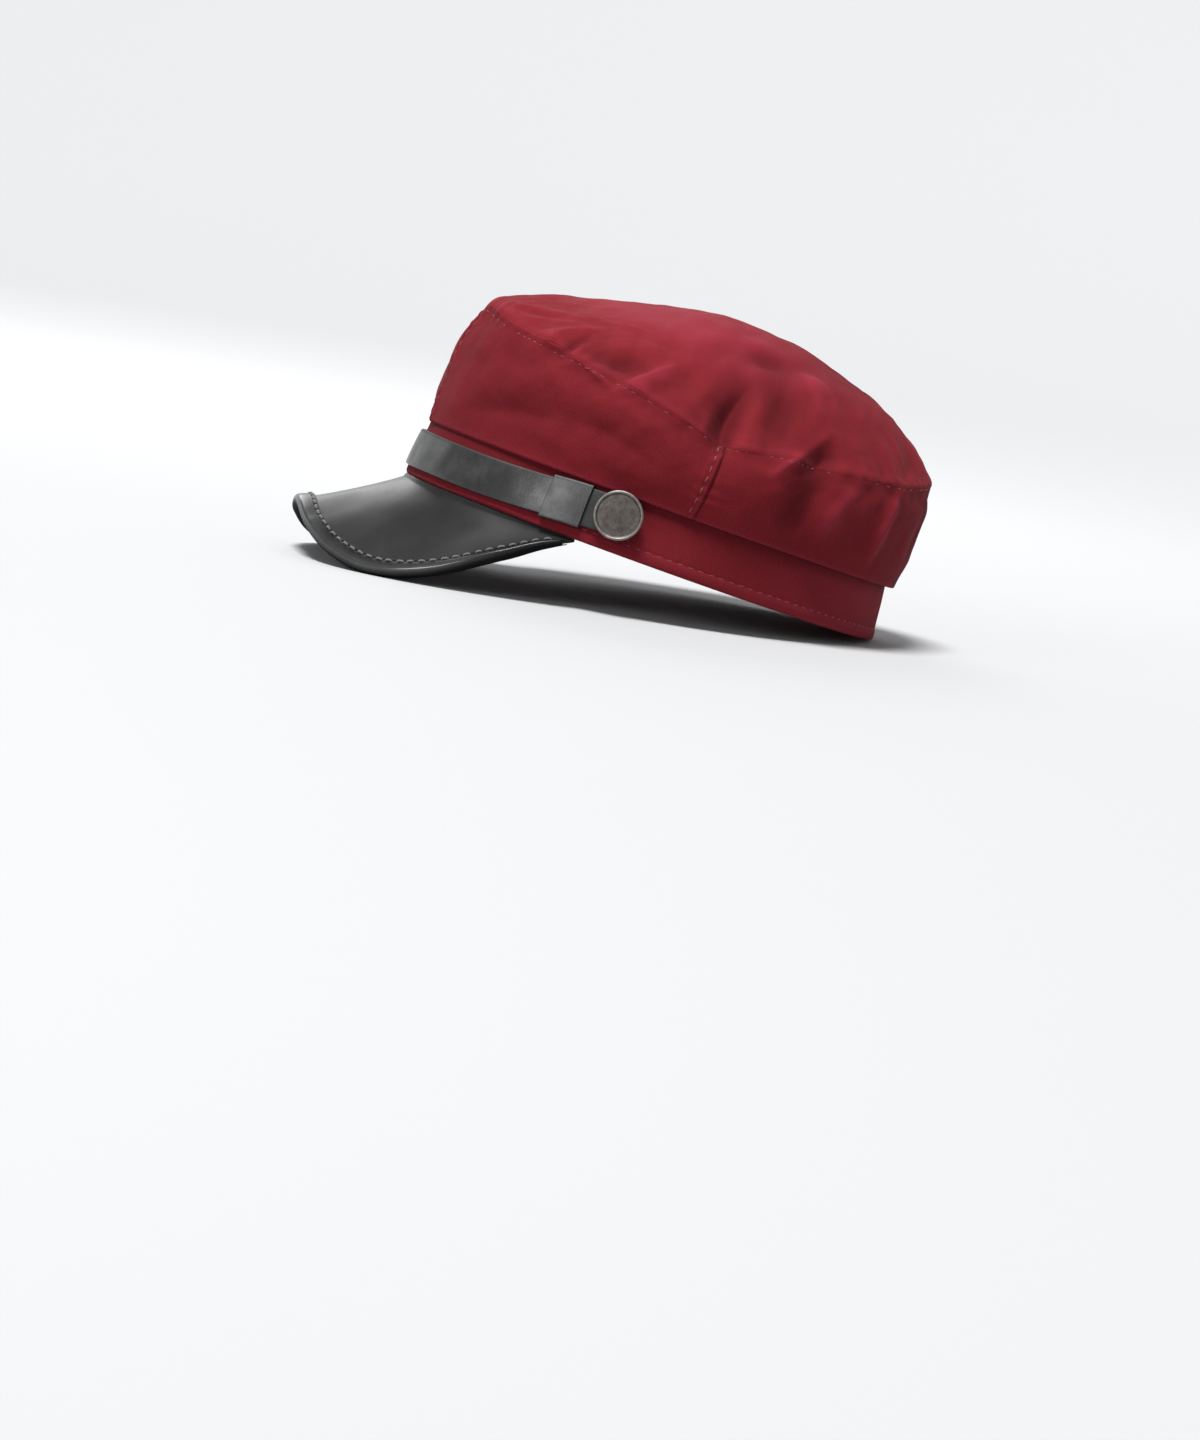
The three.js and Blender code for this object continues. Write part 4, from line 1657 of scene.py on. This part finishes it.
@dataclass
class Band:
    """The plain cloth band, hemmed at its lower edge."""

    thick: float = 2.0
    hem: float = 4.7
    hem_height: float = 0.22
    roll: float = 1.0
    seed: int = 61
    wave: float = 0.10
    row_line: Ridge = Ridge(-0.26, 0.55)
    gather: Gather = Gather(6.5, 0.10, 2.5, 62)
    near_low_edge: tuple[float, ...] = (1.0, 1.6, 2.3, 3.1)
    near_hem: tuple[float, ...] = (4.0, 4.4, 4.7, 5.0, 5.4, 5.9)
    low_edge_worn: Ridge = Ridge(0.6, 0.9, 0.6)
    hem_worn: Ridge = Ridge(0.3, 0.9, 3.6)
    roll_worn: float = 0.5
    # The band's rear paler: painted light.
    rear_painted_light: float = 0.45
    # Painted shadow under the crown's edge, and painted shade over the band's front.
    top_shade: Ridge = Ridge(0.75, 2.8, 21.5)
    front_shade: float = 0.42

    def face(self, angle: Array, z: Array) -> Array:
        """The band's outer face.

        Formula: the leaning oval, plus a slight swell of the hem up to its row
        of stitches, a furrow under the stitches, a step at the hem's inner end,
        faint waves and small puckers.

        Args:
            angle: place round the rim.
            z: height above the rim plane.

        Returns:
            Points, with x, y and z last.
        """
        plain = FORM.band(angle, z)
        swell = ease(z, 0.5, 2.0) * (1 - ease(z, self.hem - 0.5, self.hem + 0.9))
        furrow = self.row_line.at(z - self.hem)
        wave = self.wave * ripples(plain, self.seed) * ease(FORM.band_top - z, 0, 8)
        pucker = self.gather.at(FORM.run(angle), z - self.hem)
        return FORM.band(angle, z, self.hem_height * swell + furrow + wave + pucker)

    def ring(self, angles: Array) -> tuple[Array, Array, dict[str, Array]]:
        """Points round the band's section at every station.

        Formula: the outer face, half an ellipse under it, and the inner face a
        thickness in.

        Args:
            angles: stations round the rim, the first one again at the end.

        Returns:
            Points, pattern and marks of the closed ring.
        """
        above = np.arange(6.8, 25, 1.5)
        heights = np.concatenate([self.near_low_edge, self.near_hem, above, [FORM.band_top]])
        angle, z = grid(angles, heights)
        outer = self.face(angle, z)
        inner = FORM.band(angle, z, -self.thick)
        arc = np.linspace(0, math.pi, 9)[1:-1]
        low = np.full((len(angles), len(arc)), 0.0)
        roll_z = self.roll * (1 - np.sin(arc)) + low
        half = self.thick / 2
        roll_out = -half + half * np.cos(arc) + low
        roll = FORM.band(angle[:, :1] + low, roll_z, roll_out)
        ring = np.concatenate([outer[:, ::-1], roll, inner, outer[:, -1:]], axis=1)
        way = [heights[::-1], self.roll - arc * 0.64, -self.roll - heights]
        way = np.concatenate([*way, [-self.roll - heights[-1] - 1]])
        around = FORM.run(angles)[:, None] + 0 * way
        pattern = np.stack([around, 0 * around + way], axis=-1)
        downward, inside = heights[::-1], np.zeros(len(heights) + 1)
        edges = self.low_edge_worn.at(downward) + self.hem_worn.at(downward)
        worn = np.concatenate([edges, self.roll_worn * np.sin(arc), inside])
        # Painted light on the rear; painted shadow under the crown's edge and painted shade towards
        # the front.
        rear = ease(FORM.side_angle(angles), 95, 150)[:, None]
        shade = np.concatenate([self.top_shade.at(downward), 0 * arc, inside])
        marks = {WEAR_AND_LIGHT: worn + self.rear_painted_light * rear, PAINTED_SHADE: shade + self.front_shade * (1 - rear)}
        return ring, pattern, {key: np.broadcast_to(m, ring.shape[:2]) for key, m in marks.items()}

    def build(self) -> list[Piece]:
        """Makes the band and its hem's row of stitches.

        Returns:
            Both pieces.
        """
        angles = np.linspace(0, 360, 481)
        ring, pattern, marks = self.ring(angles)
        ring[-1] = ring[0]
        band = Body("band_cloth").add(Skin(ring, pattern, marks)).finish(Finish.CLOTH.material())
        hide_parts("band")
        around = np.linspace(0, 360, 1441)
        line = self.face(around, np.full_like(around, self.hem))
        normal = FORM.normal(FORM.band, around, np.full_like(around, self.hem))
        thread = Finish.CLOTH_THREAD.material()
        stitching = Stitching(2.8, 1.5, 0.38, sunk=0.16, seed=63)
        row = stitching.sew("hem_stitches", line, normal, thread)
        for piece in (band, row):
            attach(piece, "root")
        return [band, row]


@dataclass
class StrapSet:
    """The smooth strap round the front, its two keepers and its two buttons.

    "end" is the angle of the strap's ends. "button_rings" are the fine rings by
    their share of the face's radius. "button_back" is the profile of the back:
    distances in from the rim and heights.
    """

    width: float = 15.0
    thick: float = 1.6
    end: float = 75.5
    gap: float = 0.3
    crowning: float = 0.18
    keeper_from: float = 54.8
    keeper_to: float = 64.2
    keeper_thick: float = 0.8
    rim_worn: float = 0.13
    end_worn: float = 0.3
    # Painted shade along the upper edge of strap and keepers, and over the whole keeper.
    top_shade: float = 0.8
    keeper_shade: float = 0.12
    rise: Table = Table(
        ("angle", "middle"),
        ((0, 11.0), (35, 10.8), (50, 11.6), (60, 12.8), (66, 13.3), (75, 13.9)),
    )
    button_angle: float = 71.7
    button_z: float = 14.2
    button_radius: float = 9.6
    button_depth: float = 3.0
    button_off: float = 0.5
    button_bead: float = 0.62
    button_rings: tuple[Ridge, ...] = (Ridge(-0.16, 0.022, 0.80), Ridge(-0.10, 0.02, 0.70))
    button_back: tuple[tuple[float, float], ...] = ((2.2, 0), (1.2, 0.25), (0.7, 0.9), (0.5, 1.6))

    def middle(self, angle: Array) -> Array:
        """Height of the strap's middle line."""
        return self.rise.at("middle", FORM.side_angle(angle))

    def rounded(self, half: float, depth: float, radius: float, count: int = 7) -> Array:
        """Section of a flat strip with round edges, from its back to its back again.

        Formula: a quarter circle at the lower edge, the flat face and a quarter
        circle at the upper edge.

        Args:
            half: half the strip's width.
            depth: height of its face above its back.
            radius: radius of its two outer edges.
            count: points on each quarter circle.

        Returns:
            Rows of place across the strip and height above its back.
        """
        quarter = np.linspace(0, math.pi / 2, count)
        low_across = -half + radius * (1 - np.cos(quarter))
        low = np.stack([low_across, depth - radius * (1 - np.sin(quarter))], -1)
        across = np.linspace(-half + radius, half - radius, 21)[1:-1]
        flat = np.stack([across, depth + 0 * across], -1)
        high = low[::-1] * (-1, 1)
        back = np.array([[-half, 0.0]])
        return np.concatenate([back, low, flat, high, -back + 0.0])

    def strip(
        self, name: str, angles: Array, section: Array, inner: Array, wave: float, shade: Array
    ) -> Body:
        """A strip of leather laid round the band.

        Formula: a place across adds to the height of the strap's middle line,
        and a height above the band is how far out the point lies. The face is
        crowned by 1 - (across / half width) ^ 2 and faintly uneven.

        Args:
            name: name of the piece.
            angles: stations along it.
            section: outer chain, as place across and height above the band.
            inner: inner chain of as many points.
            wave: height of its faint unevenness.
            shade: how much painted shade it gets at each station.

        Returns:
            The closed strip.
        """
        across, above = section.T
        middle = self.middle(angles)[:, None]
        around = angles[:, None] + 0 * across
        height = middle + across
        half = np.abs(across).max()
        on_face = above > above.max() - 0.3
        crown = self.crowning * (1 - (across / half) ** 2) * on_face
        uneven = wave * ripples(FORM.band(around, height) * 1.3, 71)
        outer = FORM.band(around, height, above + crown + uneven)
        back = FORM.band(around, middle + inner[:, 0], inner[:, 1] + 0 * around)
        flat = np.stack([FORM.run(around), height - middle], axis=-1)
        rim = self.rim_worn * ease(np.abs(across), half - 1.5, half - 0.4)
        rim = rim * (above > self.gap + 0.3)
        reach = np.ptp(angles) / 2
        end = self.end_worn * ease(np.abs(around - around.mean()), reach - 0.6, reach)
        worn = np.clip(rim + end, 0, 1)
        # Painted shade: each station's own, and more along the upper edge.
        deep = shade[:, None] + self.top_shade * ease(across, half - 0.9, half - 0.2)
        marks = {WEAR_AND_LIGHT: wrapped(worn, 0 * worn), PAINTED_SHADE: wrapped(deep, deep[:, ::-1])}
        skin = Skin(wrapped(outer, back), wrapped(flat, flat + (0, 40)), marks)
        return Body(name).add(skin).close_ends(outer, back, flat)

    def strap(self) -> Body:
        """The strap: it runs round the front to a little past both buttons.

        Returns:
            The closed strap.
        """
        section = self.rounded(self.width / 2, self.gap + self.thick, 0.55)
        section[:, 1] = np.maximum(section[:, 1], self.gap)
        inner = np.stack([section[:, 0], np.full(len(section), self.gap)], -1)
        inner[:, 0] *= 0.995
        angles = np.linspace(-self.end, self.end, 303)
        # Painted shade on the strap past the keeper, next to the button.
        shade = ease(np.abs(angles), self.keeper_to - 1.5, self.keeper_to + 0.5)
        return self.strip("strap_leather_piece", angles, section, inner, 0.07, shade)

    def keeper(self, side: str, sign: int) -> Body:
        """A keeper: a loop of thinner leather over the strap's face and both edges.

        Args:
            side: name of the side.
            sign: 1 on the wearer's left and -1 on the right.

        Returns:
            The closed keeper.
        """
        under = 2 * self.gap + self.thick
        half = self.width / 2 + self.gap + self.keeper_thick
        section = self.rounded(half, under + self.keeper_thick, 0.75)
        section[:, 1] = np.maximum(section[:, 1], self.gap)
        inner = self.rounded(half - self.keeper_thick, under, 0.4)
        inner[:, 1] = np.maximum(inner[:, 1], self.gap)
        ends = sorted((sign * self.keeper_from, sign * self.keeper_to))
        angles = spaced(*ends, 0.5, (0.12, 0.3))
        # Painted shade over the whole keeper.
        shade = np.full_like(angles, self.keeper_shade)
        return self.strip(f"keeper_leather_{side}", angles, section, inner, 0.03, shade)

    def button(self, side: str, sign: int) -> Body:
        """A round metal button with a raised rim and a plain sunk face.

        Formula: a profile of radius and height turned round its axis. The face
        is faintly domed with two fine rings near the rim, the rim is a round
        bead and the back is flat.

        Args:
            side: name of the side.
            sign: 1 on the wearer's left and -1 on the right.

        Returns:
            The closed button.
        """
        radius, depth, bead = self.button_radius, self.button_depth, self.button_bead
        bend = np.radians(np.linspace(-70, 190, 22))
        rim_radius = radius - bead + bead * np.cos(bend)
        rim = np.stack([rim_radius, depth - bead + bead * np.sin(bend)], -1)
        share = np.linspace(1, 0, 15)[1:]
        floor = depth - 0.6 + 0.3 * (1 - share**2)
        rings = sum(ring.at(share) for ring in self.button_rings)
        face = np.stack([rim_radius[-1] * share, floor + rings], -1)
        back = np.array([(0, 0), *((radius - inset, height) for inset, height in self.button_back)])
        profile = np.concatenate([back, rim, face])
        turn = np.linspace(0, 2 * math.pi, 97)
        angle, z = np.array(sign * self.button_angle), np.array(self.button_z)
        place = FORM.band(angle, z, 2 * self.gap + self.thick + self.button_off)
        axis = unit(FORM.normal(FORM.band, angle, z) * (1, 1, 0.5))
        right = unit(np.cross((0, 0, 1.0), axis))
        upward = np.cross(axis, right)
        spoke = np.cos(turn)[:, None] * right + np.sin(turn)[:, None] * upward
        points = place + profile[None, :, :1] * spoke[:, None, :] + profile[None, :, 1:] * axis
        points[-1] = points[0]
        rim_rubbed = 0.75 * ease(np.sin(bend), -0.2, 0.7)
        rubbed = np.concatenate([0 * back[:, 0], rim_rubbed, 0.2 + 0.2 * share**6])
        around, outward = grid(turn * 4, profile[:, 0])
        pattern = np.stack([around, outward], -1)
        marks = {WEAR_AND_LIGHT: np.broadcast_to(rubbed, points.shape[:2])}
        return Body(f"button_metal_{side}").add(Skin(points, pattern, marks))

    def build(self) -> list[Piece]:
        """Makes the strap, the keepers and the buttons.

        Returns:
            All five pieces.
        """
        leather = Finish.STRAP.material()
        made = [self.strap().finish(leather)]
        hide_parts("strap")
        for side, sign in (("left", 1), ("right", -1)):
            keeper = self.keeper(side, sign).finish(leather)
            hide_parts(f"keeper_{side}")
            made.append(keeper)
        for side, sign in (("left", 1), ("right", -1)):
            button = self.button(side, sign).finish(Finish.METAL.material())
            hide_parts(f"button_{side}")
            made.append(button)
        for piece in made:
            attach(piece, "root")
        return made


@dataclass
class Peak:
    """The curved leather peak, the binding round its edge, and its stitches.

    "rim_angle" is the rim's angle at the peak's ends and "tuck" how far it is
    sewn in under the band. "half_width", "rear" and "reach" make the oval of
    its edge, and the table gives the edge's drop. "binding" and
    "binding_under" are the flaps' widths, "over" and "under" the stations
    across them from their inner edges, "skin" their thickness and "lip" how
    far the binding stands out. "row_in" is the stitches' distance from the
    upper flap's inner edge, and "snug" closes the gap under the band.
    """

    rim_angle: float = 67.0
    last: float = 86.0
    thick: float = 2.4
    crowning: float = 0.16
    tuck: float = 1.6
    tuck_share: float = 0.05
    tuck_slope: float = 0.2
    half_width: float = 76.6
    rear: float = -39.0
    reach: float = 97.6
    roundness: float = 0.9
    gap: float = 0.3
    binding: float = 6.2
    binding_under: float = 5.0
    skin: float = 1.0
    lip: float = 1.6
    most_share: float = 0.5
    row_in: float = 1.35
    row_line: Ridge = Ridge(-0.3, 0.5)
    snug: float = 0.60
    bent: float = 2.5
    flap_full: float = 0.32
    # Paler in the middle towards the front.
    middle_pale: float = 0.35
    # Painted shade on the peak's rear, near its inner edge, and on the binding's rear.
    rear_shade: float = 0.8
    inner_shade: Ridge = Ridge(0.5, 0.12)
    binding_rear_shade: float = 0.6
    over: tuple[float, ...] = (0, 0.06, 0.2, 0.4, 0.7, 1.0, 1.35, 1.7, 2.2, 3.0, 4.0, 5.2, 6.2)
    under: tuple[float, ...] = (0, 0.06, 0.2, 0.45, 0.8, 1.6, 2.6, 3.8, 5.0)
    edge: Table = Table(
        ("angle", "drop", "fullness"),
        (
            (0, 23.4, 1),
            (15, 29.2, 1),
            (30, 35.0, 1),
            (45, 36.2, 1),
            (60, 28.8, 1),
            (75, 13.6, 0.9),
            (83, 4.6, 0.6),
            (90, 0.0, 0.12),
        ),
    )

    def plan(self, angle: Array) -> Array:
        """The outer edge seen from above: an oval with slightly squared corners.

        Formula: x is half_width |sin a| ^ roundness, with the sign of sin a,
        and y is rear - reach |cos a| ^ roundness.

        Args:
            angle: place along the peak.

        Returns:
            Points, with x, y and z last.
        """
        s, c = np.sin(np.radians(angle)), np.cos(np.radians(angle))
        x = self.half_width * np.sign(s) * np.abs(s) ** self.roundness
        y = self.rear - self.reach * np.abs(c) ** self.roundness
        return np.stack([x, y, 0 * x], axis=-1)

    def face(self, angle: Array, across: Array) -> Array:
        """The peak's upper face.

        Formula: straight from the rim to the outer edge in plan. It drops by
        the table's drop times a gently crowned slope, which is flatter where
        it is tucked under the band. The wearer's right half is bent up a
        little near the front.

        Args:
            angle: place along the peak, 0 in the middle.
            across: 0 where it is sewn in and 1 at its outer edge.

        Returns:
            Points, with x, y and z last.
        """
        inner = FORM.band(angle * self.rim_angle / 90, 0 * angle, -self.tuck)
        point = inner + (self.plan(angle) - inner) * across[..., None]
        drop = self.edge.at("drop", np.abs(angle)) - self.bent * bell(angle + 22, 16)
        free = ease(across, 0, self.tuck_share)
        slope = (1 + self.crowning) * across - self.crowning * across * across
        fall = self.tuck_slope * across * (1 - free) + slope * free
        point[..., 2] = -self.gap - drop * fall
        return point

    def frame(self, angle: Array, across: Array) -> tuple[Array, Array]:
        """Upward normal, and the direction straight off the edge.

        Args:
            angle: place along the peak.
            across: place across the peak.

        Returns:
            Both directions.
        """
        along = unit(self.face(angle + 0.5, across) - self.face(angle - 0.5, across))
        out = self.face(angle, across + 0.01) - self.face(angle, across - 0.01)
        up = unit(np.cross(out, along))
        return up, np.cross(along, up)

    def fullness(self, angle: Array) -> Array:
        """Share of the full thickness, less at the two ends."""
        return self.edge.at("fullness", np.abs(angle))

    def underside(self, angle: Array, across: Array) -> Array:
        """The lower face: a thickness below the upper one, along its normal."""
        up, _ = self.frame(angle, np.maximum(across, self.tuck_share))
        return self.face(angle, across) - up * (self.thick * self.fullness(angle))[..., None]

    def leather(self) -> Body:
        """The peak itself, closed all round.

        Formula: the upper face with faint waves, raised by snug where it is
        tucked in, and the underside.

        Returns:
            The closed peak.
        """
        angles = np.linspace(-self.last, self.last, 261)
        shares = np.concatenate([np.linspace(0, 0.12, 9)[:-1], np.linspace(0.12, 1, 72)])
        angle, across = grid(angles, shares)
        up, _ = self.frame(angle, np.maximum(across, 0.02))
        swell = 0.05 * ripples(self.face(angle, across), 81) * ease(across, 0.1, 0.3)
        swell = swell * ease(0.92 - across, 0, 0.2) + self.snug * (1 - ease(across, 0.02, 0.05))
        top = self.face(angle, across) + up * swell[..., None]
        low = self.underside(angle, across)
        flat = top[..., :2]
        # Paler in the middle towards the front.
        worn = self.middle_pale * bell(angle, 14) * ease(across, 0.05, 0.3)
        # Painted shade on the peak's rear and near its inner edge, under the band.
        deep = self.rear_shade * ease(np.abs(angle), 52, 80)
        deep = deep + self.inner_shade.at(across) * ease(np.abs(angle), 10, 40)
        marks = {WEAR_AND_LIGHT: wrapped(worn, 0 * worn), PAINTED_SHADE: wrapped(deep, 0 * deep)}
        skin = Skin(wrapped(top, low), wrapped(flat, flat), marks)
        return Body("peak_leather_piece").add(skin).close_ends(top, low, flat)

    def flap(self, angle: Array, distance: Array, side: int, lift: Array) -> Array:
        """A line on the binding's upper or lower flap.

        Args:
            angle: place along the peak.
            distance: millimetres in from the peak's edge.
            side: 1 above and -1 below.
            lift: height over the peak's face.

        Returns:
            The points.
        """
        inner, outer = self.face(angle, 0 * angle), self.face(angle, 0 * angle + 1)
        room = np.linalg.norm(inner - outer, axis=-1)
        share = np.minimum(distance / room, self.most_share * distance / self.binding)
        up, _ = self.frame(angle, 1 - share)
        surface = self.face if side > 0 else self.underside
        return surface(angle, 1 - share) + up * (side * lift)[..., None]

    def flap_height(self, distance: Array, width: float, full: float) -> Array:
        """Height of a flap: a rounded inner edge, a furrow at the stitches, a full rim.

        Args:
            distance: millimetres in from the peak's edge.
            width: the flap's width.
            full: how much higher it is at the peak's edge.

        Returns:
            The height over the flap's own underside.
        """
        inward = width - distance
        t = np.clip(inward / 0.75, 0, 1)
        rounded = self.skin * np.sqrt(1 - (1 - t) ** 2)
        rim = full * np.sin(np.clip(1 - distance / (width - 2), 0, 1) * math.pi / 2)
        return rounded + self.row_line.at(inward - self.row_in) + rim

    def edging(self) -> Body:
        """The binding: a strip folded round the edge, over both faces.

        Formula: each flap follows its face of the peak, a gap off it, and is as
        thick as flap_height says. Between them the rim is a half ellipse.

        Returns:
            The closed binding.
        """
        angles = np.linspace(-self.last, self.last, 345)
        outer, inner = self.fold(angles, self.lip), self.fold(angles, 0)
        across = outer.shape[1]
        flat = np.stack(grid(angles * 1.6, np.linspace(0, 16, across)), axis=-1)
        past_flap = np.arange(across) - len(self.over)
        # Painted highlight along the rim's upper turn, also made glossier by the coat, fading
        # towards the rear.
        worn = bell(past_flap - 1.2, 3.0) * (1 - 0.9 * ease(np.abs(angles), 60, 80)[:, None])
        # Painted shade on the rim's lower half and the lower flap, and on the rear.
        rear = self.binding_rear_shade * ease(np.abs(angles), 52, 70)[:, None]
        deep = ease(past_flap, 4, 8) + rear
        marks = {WEAR_AND_LIGHT: wrapped(worn, 0 * worn), PAINTED_SHADE: wrapped(deep, rear + 0 * deep)}
        skin = Skin(wrapped(outer, inner), wrapped(flat, flat + (0, 20)), marks)
        return Body("binding_leather_piece").add(skin).close_ends(outer, inner, flat)

    def fold(self, angles: Array, lip: float) -> Array:
        """The binding's section, from the upper flap's inner edge to the lower one's.

        Args:
            angles: stations along the peak.
            lip: how far it stands out past its own inside, or 0 for that inside.

        Returns:
            A chain of points for each station.
        """
        lines = []
        flaps = (
            (self.over, 1, self.binding, self.flap_full),
            (self.under, -1, self.binding_under, 0.0),
        )
        for inward, side, width, swell in flaps:
            angle, distance = grid(angles, width - np.array(inward))
            height = 0 * distance
            if lip:
                height = self.flap_height(distance, width, swell) * self.fullness(angle)
            lines.append(self.flap(angle, distance, side, self.gap + height))
        high, low = lines[0][:, -1], lines[1][:, -1]
        centre, half = (high + low) / 2, (high - low) / 2
        _, off = self.frame(angles, np.ones_like(angles))
        off = off * ((self.gap + lip) * self.fullness(angles))[:, None]
        turn = np.radians(np.linspace(90, -90, 15)[1:-1])[:, None]
        rim = centre[:, None] + half[:, None] * np.sin(turn) + off[:, None] * np.cos(turn)
        return np.concatenate([lines[0], rim, lines[1][:, ::-1]], axis=1)

    def stitches(self) -> Piece:
        """The row of stitches near the binding's inner edge.

        Returns:
            The row as one object.
        """
        angles = np.linspace(-self.last + 3, self.last - 3, 1200)
        distance = np.full_like(angles, self.binding - self.row_in)
        height = self.flap_height(distance, self.binding, self.flap_full)
        line = self.flap(angles, distance, 1, self.gap + height * self.fullness(angles))
        up, _ = self.frame(angles, 1 - distance / 60)
        row = Stitching(3.3, 1.1, 1.1, sunk=0.14, seed=91)
        return row.sew("peak_stitches", line, up, Finish.PEAK_THREAD.material())

    def build(self) -> list[Piece]:
        """Makes the peak, its binding and its stitches.

        Returns:
            All three pieces.
        """
        peak = self.leather().finish(Finish.PEAK.material())
        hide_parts("peak")
        edging = self.edging().finish(Finish.BINDING.material())
        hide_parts("peak_binding")
        row = self.stitches()
        for piece in (peak, edging, row):
            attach(piece, "root")
        return [peak, edging, row]


# The studio


class Reach(Enum):
    """How far away a lamp is."""

    FAR = "SUN"
    NEAR = "AREA"


@dataclass(frozen=True)
class Lamp:
    """A soft lamp that looks at the cap.

    Its direction is an azimuth from straight ahead of the peak to the wearer's
    left, and an elevation. Its width is in degrees if it is far, in metres if near.
    "aim" is the height of the point that it looks at.
    """

    name: str
    reach: Reach
    azimuth: float
    elevation: float
    width: float
    strength: float
    distance: float = 1.5
    aim: float = 0.06

    def build(self) -> None:
        """Hangs the lamp."""
        light = bpy.data.lights.new(self.name, self.reach.value)
        light.energy = self.strength
        if self.reach is Reach.FAR:
            light.angle = math.radians(self.width)
        else:
            light.size = self.width
        az, el = math.radians(self.azimuth), math.radians(self.elevation)
        toward = Vector((math.sin(az) * math.cos(el), -math.cos(az) * math.cos(el), math.sin(el)))
        lamp = bpy.data.objects.new(self.name, light)
        lamp.location = toward * self.distance + Vector((0, 0, self.aim))
        lamp.rotation_mode = "QUATERNION"
        lamp.rotation_quaternion = toward.to_track_quat("Z", "Y")
        lamp.visible_camera = False
        bpy.context.scene.collection.objects.link(lamp)


@dataclass(frozen=True)
class Studio:
    """The pale seamless ground, the soft lamps, and the camera.

    "floor" is the flat ground's radius and "bowl" that of its sweep up, in
    metres, and "sweep" the sweep's turn. "azimuth" is the camera's turn from
    the wearer's left towards the peak, and "distance" how far it is from the
    middle of the rim, in millimetres. "focus", "image" and "rim_middle" are in
    pixels of the picture.
    """

    floor: float = 1.2
    bowl: float = 6.0
    sweep: float = 60.0
    sky: float = 0.31
    sky_tint: Colour = (0.93, 0.965, 1.0)
    azimuth: float = 13.0
    elevation: float = 1.8
    roll: float = 19.998
    distance: float = 1603.1
    focus: float = 4000.0
    sensor: float = 36.0
    image: tuple[int, int] = (1200, 1440)
    rim_middle: tuple[float, float] = (639.76, 555.88)
    lamps: tuple[Lamp, ...] = (
        Lamp("key", Reach.FAR, azimuth=42, elevation=71, width=20, strength=6.0),
        Lamp("far_box", Reach.NEAR, azimuth=-86, elevation=33, width=0.85, strength=8.0),
        Lamp("front_box", Reach.NEAR, azimuth=-45, elevation=13, width=0.45, strength=0.35),
        Lamp("side_box", Reach.NEAR, azimuth=44, elevation=18, width=0.46, strength=4.6),
    )

    def ground(self) -> None:
        """The ground: a round floor that sweeps up into a wall on all sides.

        Formula: a flat disc and, round it, an arc turned about the z axis.
        """
        turn = np.linspace(0, 2 * math.pi, 97)
        arc = np.linspace(0, math.radians(self.sweep), 33)
        flat = np.linspace(0, self.floor, 12)[:-1]
        radius = np.concatenate([flat, self.floor + self.bowl * np.sin(arc)])
        height = np.concatenate([0 * flat, self.bowl * (1 - np.cos(arc))])
        x, y = np.cos(turn)[:, None] * radius, np.sin(turn)[:, None] * radius
        points = np.stack([x, y, 0 * x + height], axis=-1)
        faces = quads(*points.shape[:2])[:, ::-1]
        mesh = bpy.data.meshes.new("ground")
        mesh.from_pydata(points.reshape(-1, 3).tolist(), [], faces.tolist())
        close_up(mesh)
        mesh.materials.append(Finish.GROUND.material())
        ground = bpy.data.objects.new("ground", mesh)
        bpy.context.scene.collection.objects.link(ground)

    def camera(self) -> None:
        """The camera at the photograph's angle to the cap.

        Formula: it stands at the distance from the middle of the rim, at the
        azimuth and elevation over the rim plane, and is rolled. It then turns
        so that the middle of the rim lies at its place in the picture.
        """
        az, el, roll = (math.radians(v) for v in (self.azimuth, self.elevation, self.roll))
        back = np.array([math.cos(az) * math.cos(el), -math.sin(az) * math.cos(el), math.sin(el)])
        right = np.array([math.sin(az), math.cos(az), 0.0])
        up = np.cross(right, -back)
        x = right * math.cos(roll) + up * math.sin(roll)
        y = -right * math.sin(roll) + up * math.cos(roll)
        ahead_x = (self.image[0] / 2 - self.rim_middle[0]) / self.focus
        ahead_y = (self.rim_middle[1] - self.image[1] / 2) / self.focus
        z = unit(back - ahead_x * x - ahead_y * y)
        x = unit(x - z * (x @ z))
        y = np.cross(z, x)
        axes = REST.turn(np.stack([x, y, z])).T
        data = bpy.data.cameras.new("camera")
        data.sensor_width = self.sensor
        data.lens = self.focus * self.sensor / max(self.image)
        camera = bpy.data.objects.new("camera", data)
        place = REST.place(back * self.distance)
        matrix = np.eye(4)
        matrix[:3, :3] = axes
        matrix[:3, 3] = place
        camera.matrix_world = Matrix(matrix.tolist())
        bpy.context.scene.collection.objects.link(camera)
        bpy.context.scene.camera = camera

    def build(self) -> None:
        """Sets the ground, the sky, the lamps and the camera."""
        self.ground()
        world = bpy.data.worlds.new("studio")
        world.use_nodes = True
        sky = world.node_tree.nodes["Background"]
        sky.inputs["Color"].default_value = (*self.sky_tint, 1)
        sky.inputs["Strength"].default_value = self.sky
        bpy.context.scene.world = world
        for lamp in self.lamps:
            lamp.build()
        self.camera()
        bpy.context.scene.view_settings.view_transform = "Standard"


def report(pieces: Iterable[Piece]) -> None:
    """Logs each piece's name and how many triangles it has.

    Args:
        pieces: finished pieces.
    """
    for piece in pieces:
        piece.data.calc_loop_triangles()
        LOG.info("%s: %d triangles", piece.name, len(piece.data.loop_triangles))


def main() -> None:
    """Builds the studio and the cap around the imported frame, and keeps its sizes."""
    logging.basicConfig(level=logging.INFO, format="%(name)s %(message)s")
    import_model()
    Studio().build()
    for part in (Crown(), Band(), StrapSet(), Peak()):
        report(part.build())


if __name__ == "__main__":
    main()
